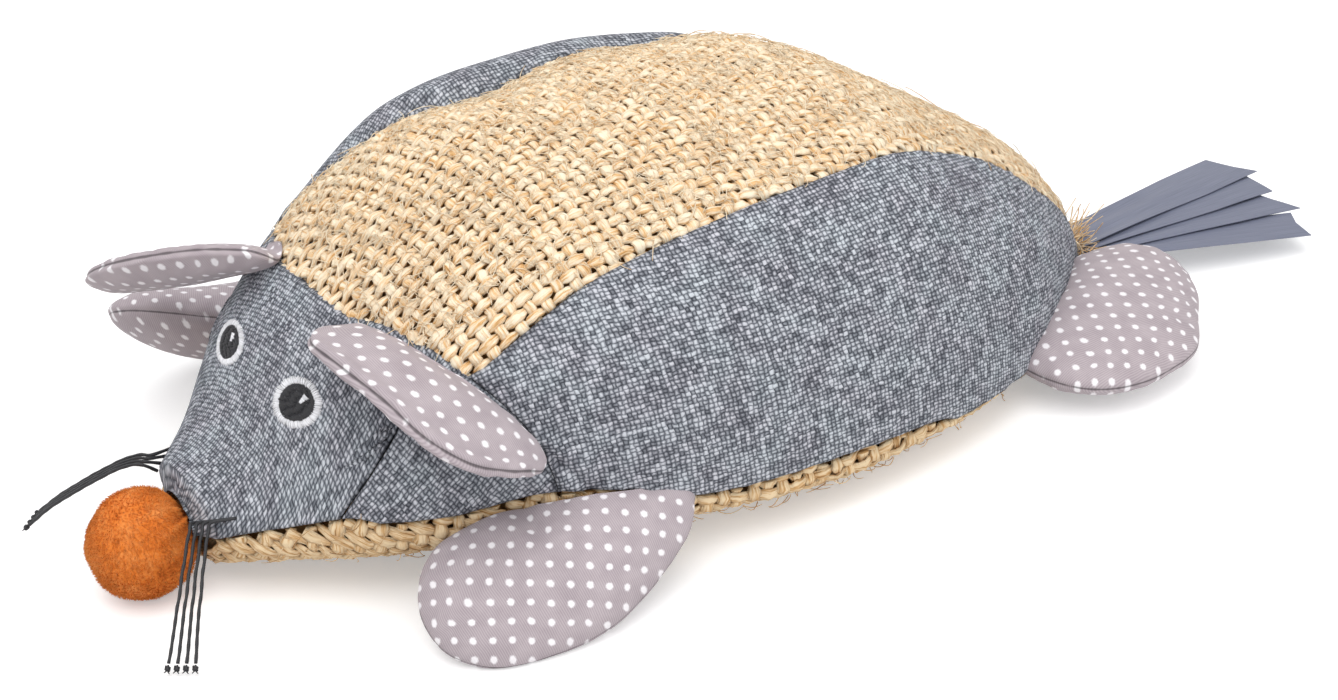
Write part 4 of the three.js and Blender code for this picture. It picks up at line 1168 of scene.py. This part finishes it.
# A pad as it is sewn: two flat faces joined round an outline, blown up by the pressure of the
# stuffing, then brought to its finished size. Blown up ten times as large, because cloth settles
# badly at this size. It returns the pad, its shape, its places on the flat cloth and how far each
# point is from the seam.
def stuffed_pad(name, corners, thickness, seed, seam_roll=0, segments=96, rings=36):
    rim = closed_outline(corners, segments)
    middle = rim.mean(0)
    pad = add_primitive(
        name, bpy.ops.mesh.primitive_uv_sphere_add,
        segments=segments, ring_count=rings, radius=1, calc_uvs=False,
    )
    ball = mesh_points(pad.data)
    polar = np.arccos(np.clip(ball[:, 2], -1, 1)) / (np.pi / 2)
    from_middle = np.minimum(polar, 2 - polar)
    turn = np.mod(np.arctan2(ball[:, 1], ball[:, 0]) / (2 * np.pi), 1) * segments
    k = np.floor(turn + 1e-3).astype(int) % segments
    share = np.sin(np.clip(from_middle, 0, 1) * np.pi / 2) ** 0.8
    flat = middle + (rim[k] - middle) * share[:, None]
    upper = np.where(polar <= 1, 1, -1)
    dome = thickness / 2 * np.sqrt(np.clip(1 - share ** 3.4, 0, 1)) * upper
    shape = np.column_stack([flat, dome])
    flat_start = np.column_stack([flat, 0.6 * upper * np.sqrt(np.clip(1 - share ** 2, 0, 1))])
    sim_mm = 1000 / pad_sim_scale
    pad.data.vertices.foreach_set("co", (flat_start / sim_mm).ravel())
    stuffing = pad.modifiers.new("stuffing", "CLOTH")
    for setting, value in pad_sim_settings.items():
        setattr(stuffing.settings, setting, value)
    stuffing.settings.effector_weights.gravity = 0
    for step in range(1, pad_sim_steps + 1):
        bpy.context.scene.frame_set(step)
    blown = pad.evaluated_get(bpy.context.evaluated_depsgraph_get())
    swollen = mesh_points(blown.data) * sim_mm
    pad.modifiers.remove(stuffing)
    bpy.context.scene.frame_set(1)
    # Back to the finished size: the seam is drawn out to its outline, keeping a little of its puckers
    for axis in (0, 1):
        low, size = swollen[:, axis].min(), np.ptp(swollen[:, axis])
        swollen[:, axis] = rim[:, axis].min() + (swollen[:, axis] - low) * np.ptp(rim[:, axis]) / size
    ring = np.rint(polar / 2 * rings).astype(int)
    numbers = np.zeros((segments, rings + 1), int)
    numbers[k, ring] = np.arange(len(k))
    opposite = swollen[numbers[k, rings - ring], 2]
    between = (swollen[:, 2] + opposite) / 2
    half = np.abs(swollen[:, 2] - opposite) / 2
    half *= thickness / 2 / half.max()
    on_seam = np.abs(from_middle - 1) < 1e-3
    seam = np.zeros((segments, 2))
    seam[k[on_seam]] = swollen[on_seam, :2]
    swollen[:, :2] += (rim[k] - seam[k]) * share[:, None] ** 2 * sim_outline_hold
    swollen[:, :2] = sim_outline_part * swollen[:, :2] + (1 - sim_outline_part) * flat
    swollen[:, 2] = sim_dome_part * upper * half + (1 - sim_dome_part) * dome
    swollen[:, 2] += sim_waver_part * (between - between.mean())
    shape = shape + np.clip(swollen - shape, -pad_sim_limit, pad_sim_limit)
    # The seam draws small uneven puckers into both faces
    chance = np.random.default_rng(seed)
    from_rim = np.linalg.norm(rim[k] - flat, axis=1)
    girth = turn / segments * arc_lengths(np.vstack([rim, rim[:1]]))[-1]
    pucker = sum(
        np.sin(girth * chance.uniform(0.5, 1.5) + chance.uniform(0, 6) + upper * 0.8) for _ in range(4)
    )
    pucker *= np.exp(-from_rim / pucker_reach) * np.clip(from_rim / pad_pucker_start, 0, 1)
    shape[:, 2] += upper * pad_pucker_height * pucker
    from_seam = np.hypot(from_rim, shape[:, 2])
    inwards = normalised(middle - rim[k])
    shape[:, :2] += inwards * pad_seam_inset * np.exp(-(from_seam / 0.7) ** 2)[:, None]
    # On an ear the seam rolls up a little over its front edge, so that the lower face shows below it
    near_rim = np.exp(-(from_rim / 5) ** 2) * np.clip(flat[:, 1] / (0.12 * np.ptp(rim[:, 0])), 0, 1)
    below = (upper < 0) * np.clip(from_seam / 2, 0, 1)
    shape[:, :2] -= inwards * (seam_roll * 0.7 * near_rim * below)[:, None]
    shape[:, 2] += seam_roll * near_rim
    return pad, shape, flat, from_seam


# Keeps soft pieces off the body: a point inside the skin goes straight out of its section
def outside_body(points, clearance):
    share = points[:, 1] / body_length
    middle, half_width, top, waist, underside = skin_section(np.clip(share, 0, 1))
    side = (points[:, 0] - middle) / (half_width + clearance)
    above = points[:, 2] + rest_flat_depth - waist
    up = above / (np.where(above >= 0, top - waist, waist - underside) + clearance)
    fullness = np.where(above >= 0, upper_fullness, lower_fullness)
    size = (np.abs(side) ** fullness + np.abs(up) ** fullness) ** (1 / fullness)
    grow = np.where((size < 1) & (share > 0) & (share < 1), 1 / np.maximum(size, 0.3), 1)
    moved = points.copy()
    moved[:, 0] = middle + (points[:, 0] - middle) * grow
    moved[:, 2] = waist - rest_flat_depth + above * grow
    return moved


def finish_pad(pad, points, flat, from_seam, body, turn, shift):
    set_body_points(pad.data, points)
    set_cloth_map(pad.data, turned_map(flat[:, 0], flat[:, 1], turn) + shift)
    set_values(pad.data, "seam", from_seam)
    edit_all((bpy.ops.mesh.normals_make_consistent, {"inside": False}))
    smoother = pad.modifiers.new("smooth_cloth", "SUBSURF")
    smoother.levels = smoother.render_levels = 1
    bpy.ops.object.modifier_apply(modifier=smoother.name)
    bpy.ops.object.shade_smooth()
    pad.data.materials.append(dotted_cotton)
    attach(pad, body)
    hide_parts(body)


# Cotton poplin: a fine close weave, mauve-grey, printed with soft-edged white dots 2 mm wide and 5 mm apart.
# The print is slightly fuzzy, and painted shade darkens the cloth in the groove along its seams.
dotted_cotton, tree = new_material("printed_cotton_poplin")
cloth = cloth_map(tree)
cells = vector_maths(tree, "SCALE", shaken(tree, cloth, 2200, 2, 0.0006), Scale=200)
centred = vector_maths(tree, "SUBTRACT", vector_maths(tree, "FRACTION", cells), (0.5, 0.5, 0))
flattened = vector_maths(tree, "MULTIPLY", centred, (1, 1, 0))
radius = add_node(tree, "ShaderNodeVectorMath", {0: flattened}, operation="LENGTH").outputs["Value"]
edge = {"Value": radius, "From Min": 0.25, "From Max": 0.12}
dot = add_node(tree, "ShaderNodeMapRange", edge, interpolation_type="SMOOTHSTEP").outputs[0]
ribs = stripes(tree, mapped(tree, cloth, (1, 1, 1), 0.5), 520, Distortion=0.6, Detail=1)
shade = weighted_sum(tree, 0, (ribs, 0.35), (noise(tree, cloth, 140, 4), 0.65))
ground = colour_ramp(tree, shade, (0.2, "#9b8f95"), (0.8, "#bdb2b6"))
layers = {0: dot, 6: ground, 7: linear("#efebee")}
printed = add_node(tree, "ShaderNodeMix", layers, data_type="RGBA").outputs[2]
# Painted shade along the seam groove, darkest on the seam line and broken up unevenly by noise
pull = weighted_sum(tree, point_value(tree, "seam"), (noise(tree, cloth, 260, 1), 0.5))
near_seam = {"Value": pull, "From Min": 0.36, "From Max": 0.78, "To Min": 0.35, "To Max": 1}
painted_seam_shade = add_node(tree, "ShaderNodeMapRange", near_seam, interpolation_type="SMOOTHSTEP").outputs[0]
coloured = vector_maths(tree, "SCALE", printed, Scale=painted_seam_shade)
finish_surface(tree, coloured, shade, 0.35, 0.0002, {
    "Roughness": 0.82, "Specular IOR Level": 0.25, "Sheen Weight": 0.1,
})

for number, (name, ear) in enumerate(ears.items()):
    corners = np.array(ear["outline"]) * ear_length
    pad, shape, flat, from_seam = stuffed_pad(
        f"{name}_pad", corners, ear_thickness, 40 + number, ear_seam_roll,
    )
    route = smooth_route(np.array(ear["spine"]) * body_size, 400)
    slope = np.gradient(route, axis=0)
    length = arc_lengths(route)
    s = ear["sewn_in"] + np.clip(shape[:, 0] / ear_length, 0, 1) * (length[-1] - ear["sewn_in"])
    at, forwards = (
        np.stack([np.interp(s, length, line[:, k]) for k in range(3)], -1) for line in (route, slope)
    )
    forwards = normalised(forwards)
    across = np.array(ear["across"])
    sideways = normalised(across - (forwards @ across)[:, None] * forwards)
    upwards = np.cross(forwards, sideways)
    upwards *= np.where(upwards[:, 2:] < 0, -1, 1)
    points = at + sideways * shape[:, 1:2] + upwards * shape[:, 2:3]
    finish_pad(pad, outside_body(points, ear_clearance), flat, from_seam, name, ear["print_turn"], (1.3, 0.8))

# Feet: the same stuffed pads from the same cotton, larger, each with one straight side sewn into the
# belly seam. They slope to the floor, and the right front one curls up at its front.
foot_length = 80
foot_thickness = 21
foot_clearance = 0.8
foot_floor_gap = 0.25
front_foot_shares = [
    [-0.25, 0.062], [-0.331, 0.188], [-0.331, 0.338], [-0.263, 0.45], [-0.138, 0.512], [-0.013, 0.519],
    [0.1, 0.5], [0.212, 0.469], [0.325, 0.412], [0.438, 0.325], [0.55, 0.212], [0.637, 0.087],
    [0.65, -0.037], [0.5, -0.075], [0.325, -0.087], [0.15, -0.075], [0, -0.05], [-0.138, 0],
]
curled_foot_shares = [
    [-0.175, 0.037], [-0.312, 0.163], [-0.4, 0.325], [-0.4, 0.5], [-0.3, 0.613], [-0.125, 0.637],
    [0.037, 0.6], [0.163, 0.531], [0.287, 0.444], [0.412, 0.338], [0.537, 0.212], [0.637, 0.087],
    [0.637, -0.05], [0.5, -0.075], [0.325, -0.087], [0.15, -0.075], [0.013, -0.062],
]
rear_foot_shares = [
    [-0.025, 0.05], [-0.05, 0.15], [-0.05, 0.25], [0, 0.362], [0.113, 0.469], [0.263, 0.544],
    [0.412, 0.575], [0.588, 0.537], [0.775, 0.475], [0.912, 0.388], [0.988, 0.275], [1, 0.163],
    [0.925, 0.05], [0.775, -0.05], [0.6, -0.087], [0.4, -0.1], [0.2, -0.087], [0.05, -0.05],
]
# Each foot's name, side, middle of its seam, direction of its seam, slope, outline, curl and print turn
feet = (
    ("left_front_foot", 1, [0.731, 0.227, 0.211], [0.392, 0.918, -0.046], 34, front_foot_shares, 0, -9),
    ("right_front_foot", -1, [-0.731, 0.227, 0.211], [-0.392, 0.918, -0.046], 17, curled_foot_shares, 20, 20),
    ("left_rear_foot", 1, [0.894, 0.793, 0.126], [-0.493, 0.868, 0.04], 6, rear_foot_shares, 0, 30),
    ("right_rear_foot", -1, [-0.511, 0.79, 0.126], [0.62, 0.78, 0.04], 6, rear_foot_shares, 0, 10),
)
for number, (name, side, seam, along, slope, shares, curl, turn) in enumerate(feet):
    corners = np.array(shares) * foot_length
    thickness = foot_thickness + 0.4 * curl
    pad, shape, flat, from_seam = stuffed_pad(f"{name}_pad", corners, thickness, 50 + number)
    along = normalised(np.array(along))
    level = normalised(np.array([along[1], -along[0], 0]))
    tilt = math.radians(slope)
    outwards = level * side * math.cos(tilt) - np.array([0, 0, math.sin(tilt)])
    upwards = np.cross(outwards, along) * side
    curled = curl * (np.maximum(foot_length * 0.375 - shape[:, 0], 0) / (foot_length * 0.7)) ** 2
    points = np.array(seam) * body_size + shape[:, 0:1] * along + shape[:, 1:2] * outwards
    points = points + (shape[:, 2] + curled)[:, None] * upwards
    points[:, 2] = np.maximum(points[:, 2], foot_floor_gap)
    finish_pad(pad, outside_body(points, foot_clearance), flat, from_seam, name, turn, (0.6, 2.1))

# Tail: four lengths of satin ribbon sewn together into the tail seam, one on another, their ends
# cut square. Each is folded in at the seam, and opens to its full width further out.
ribbon_length = 92
ribbon_root_width = 12
ribbon_end_width = 19
ribbon_thickness = 0.25
ribbon_layer_pitch = 0.75
ribbon_root_height = 13.5
ribbon_end_height = 8.5
ribbon_fan_angles = [8, 0, -8.5, -21]
ribbon_side_shares = [-0.12, -0.04, 0.04, 0.12]
ribbon_length_shares = [1, 0.97, 0.92, 0.89]
ribbon_slant_shares = [0.03, -0.02, 0.03, -0.03]
ribbon_fold_height = 0.345
tail_seam = np.array([tail_end_shift, body_length, ribbon_root_height - rest_flat_depth])

# Polyester satin ribbon: long warp floats along the ribbon, smooth, with a soft streaky shine
ribbon_satin, tree = new_material("polyester_satin_ribbon")
floats = noise(tree, mapped(tree, cloth_map(tree), (3200, 60, 1)), 1, 3)
colour = colour_ramp(tree, floats, (0.25, "#5f6477"), (0.75, "#797d90"))
finish_surface(tree, colour, floats, 0.25, 0.0001, {
    "Roughness": 0.42, "Specular IOR Level": 0.45, "Anisotropic": 0.4,
})

for i in range(4):
    length = ribbon_length * ribbon_length_shares[i]
    turn = math.radians(ribbon_fan_angles[i])
    ribbon = add_primitive(
        f"tail_satin_ribbon_{i + 1}", bpy.ops.mesh.primitive_grid_add,
        x_subdivisions=24, y_subdivisions=90, size=1, calc_uvs=False,
    )
    v, u = (mesh_points(ribbon.data)[:, :2] + 0.5).T
    width = ribbon_root_width + (ribbon_end_width - ribbon_root_width) * np.minimum(u / 0.7, 1) ** 0.8
    sideways = width * (v - 0.5) + ribbon_root_width * ribbon_side_shares[i]
    reach = length * u * (1 + ribbon_slant_shares[i] * (v - 0.5) * 2)
    x = sideways * math.cos(turn) - reach * math.sin(turn)
    y = reach * math.cos(turn) + np.maximum(sideways * math.sin(turn), 0)
    droop = (ribbon_root_height - ribbon_end_height) * (np.hypot(x, y) / ribbon_length) ** 1.5
    fold = ribbon_fold_height * (1 - np.minimum(u / 0.75, 1)) ** 1.3 * np.cos(v * 4 * np.pi + i)
    wave = 0.25 * np.sin(u * 7 + i * 2) * u + 0.18 * np.sin(v * 5 + u * 9 + i)
    z = ribbon_layer_pitch * (1.5 - i) + 0.2 - droop + fold + wave * 0.5
    set_body_points(ribbon.data, tail_seam + np.stack([x, y, z], -1))
    set_cloth_map(ribbon.data, np.stack([(v - 0.5) * ribbon_end_width, u * length], -1))
    thicken(ribbon, ribbon_thickness, 0)
    bpy.ops.object.shade_smooth_by_angle(angle=math.radians(40))
    ribbon.data.materials.append(ribbon_satin)
    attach(ribbon, "tail")
    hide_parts(f"tail_ribbon_{i + 1}")

# Tail tuft: the raw ends of the sisal yarns, which stick out of the tail seam round the ribbons
# and bend each its own way. They are held by the same seam as the ribbons.
tuft_chance = np.random.default_rng(61)
tuft_fibres = 240
tuft_spread = [4.2, 0.8, 3.2]
tuft_middle = tail_seam + [0, -2, 1.5]
t = np.linspace(0, 1, 7)[:, None]
routes = []
for _ in range(tuft_fibres):
    start = tuft_middle + tuft_chance.normal(0, 1, 3) * tuft_spread
    aim = normalised(np.array([tuft_chance.normal(0.1, 0.55), 1, tuft_chance.normal(0.05, 0.65)]))
    length = tuft_chance.uniform(3, 13)
    route = start + aim * length * t + tuft_chance.normal(0, 0.4, 3) * length * t ** 2
    route[:, 2] = np.maximum(route[:, 2], 0.5)
    routes.append(route)
sizes = [np.linspace(0.55, 0.3, 7)] * tuft_fibres
upwards = [np.tile([0.2, 0.3, 0.9], (7, 1))] * tuft_fibres
tones = tuft_chance.uniform(0.05, 0.6, tuft_fibres)
tuft = add_tubes("tail_sisal_tuft", routes, sizes, sizes, upwards, 4, tones)
tuft.data.materials.append(sisal_back)
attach(tuft, "toy_body")

# Floor: a plain pale studio floor. For the camera it is lifted to white, and it keeps the shadow.
floor = add_primitive("studio_floor", bpy.ops.mesh.primitive_plane_add, size=12)


# One for the rays by which the camera sees a thing, also by reflection, and zero for the others
def seen_by_camera(tree):
    rays = add_node(tree, "ShaderNodeLightPath", {}).outputs
    seen = maths(tree, "MAXIMUM", rays["Is Camera Ray"], rays["Is Glossy Ray"])
    return maths(tree, "MAXIMUM", seen, rays["Is Transmission Ray"])


floor_paint, tree = new_material("matt_white_studio_floor")
shader = tree.nodes["Principled BSDF"]
tree.links.new(maths(tree, "MULTIPLY", seen_by_camera(tree), 0.35), shader.inputs["Emission Strength"])
shader.inputs["Base Color"].default_value = (0.86, 0.86, 0.86, 1)
shader.inputs["Emission Color"].default_value = (1, 1, 1, 1)
shader.inputs["Roughness"].default_value = 1
shader.inputs["Specular IOR Level"].default_value = 0
floor.data.materials.append(floor_paint)

# Studio light: a large soft box above and in front, a wide fill from the left, and a pale room
# that looks white to the camera and lights the mouse a little less
lit_point = Vector((0, 0, 0.04))
for name, place, size, power in (
    ("overhead_softbox", (0.25, -0.35, 1.3), 1.4, 15),
    ("side_fill", (1.3, 0.3, 0.7), 1.2, 5),
):
    bpy.ops.object.light_add(type="AREA", location=place)
    lamp = bpy.context.object
    lamp.name = name
    lamp.data.size = size
    lamp.data.energy = power
    lamp.rotation_euler = (lit_point - Vector(place)).to_track_quat("-Z", "Y").to_euler()
room = bpy.data.worlds.new("pale_room")
bpy.context.scene.world = room
room.use_nodes = True
tree = room.node_tree
background = tree.nodes["Background"]
brightness = {"Value": seen_by_camera(tree), "To Min": 0.55, "To Max": 1}
level = add_node(tree, "ShaderNodeMapRange", brightness).outputs[0]
tree.links.new(level, background.inputs["Strength"])
background.inputs["Color"].default_value = (1, 1, 1, 1)
bpy.context.scene.view_settings.view_transform = "Standard"
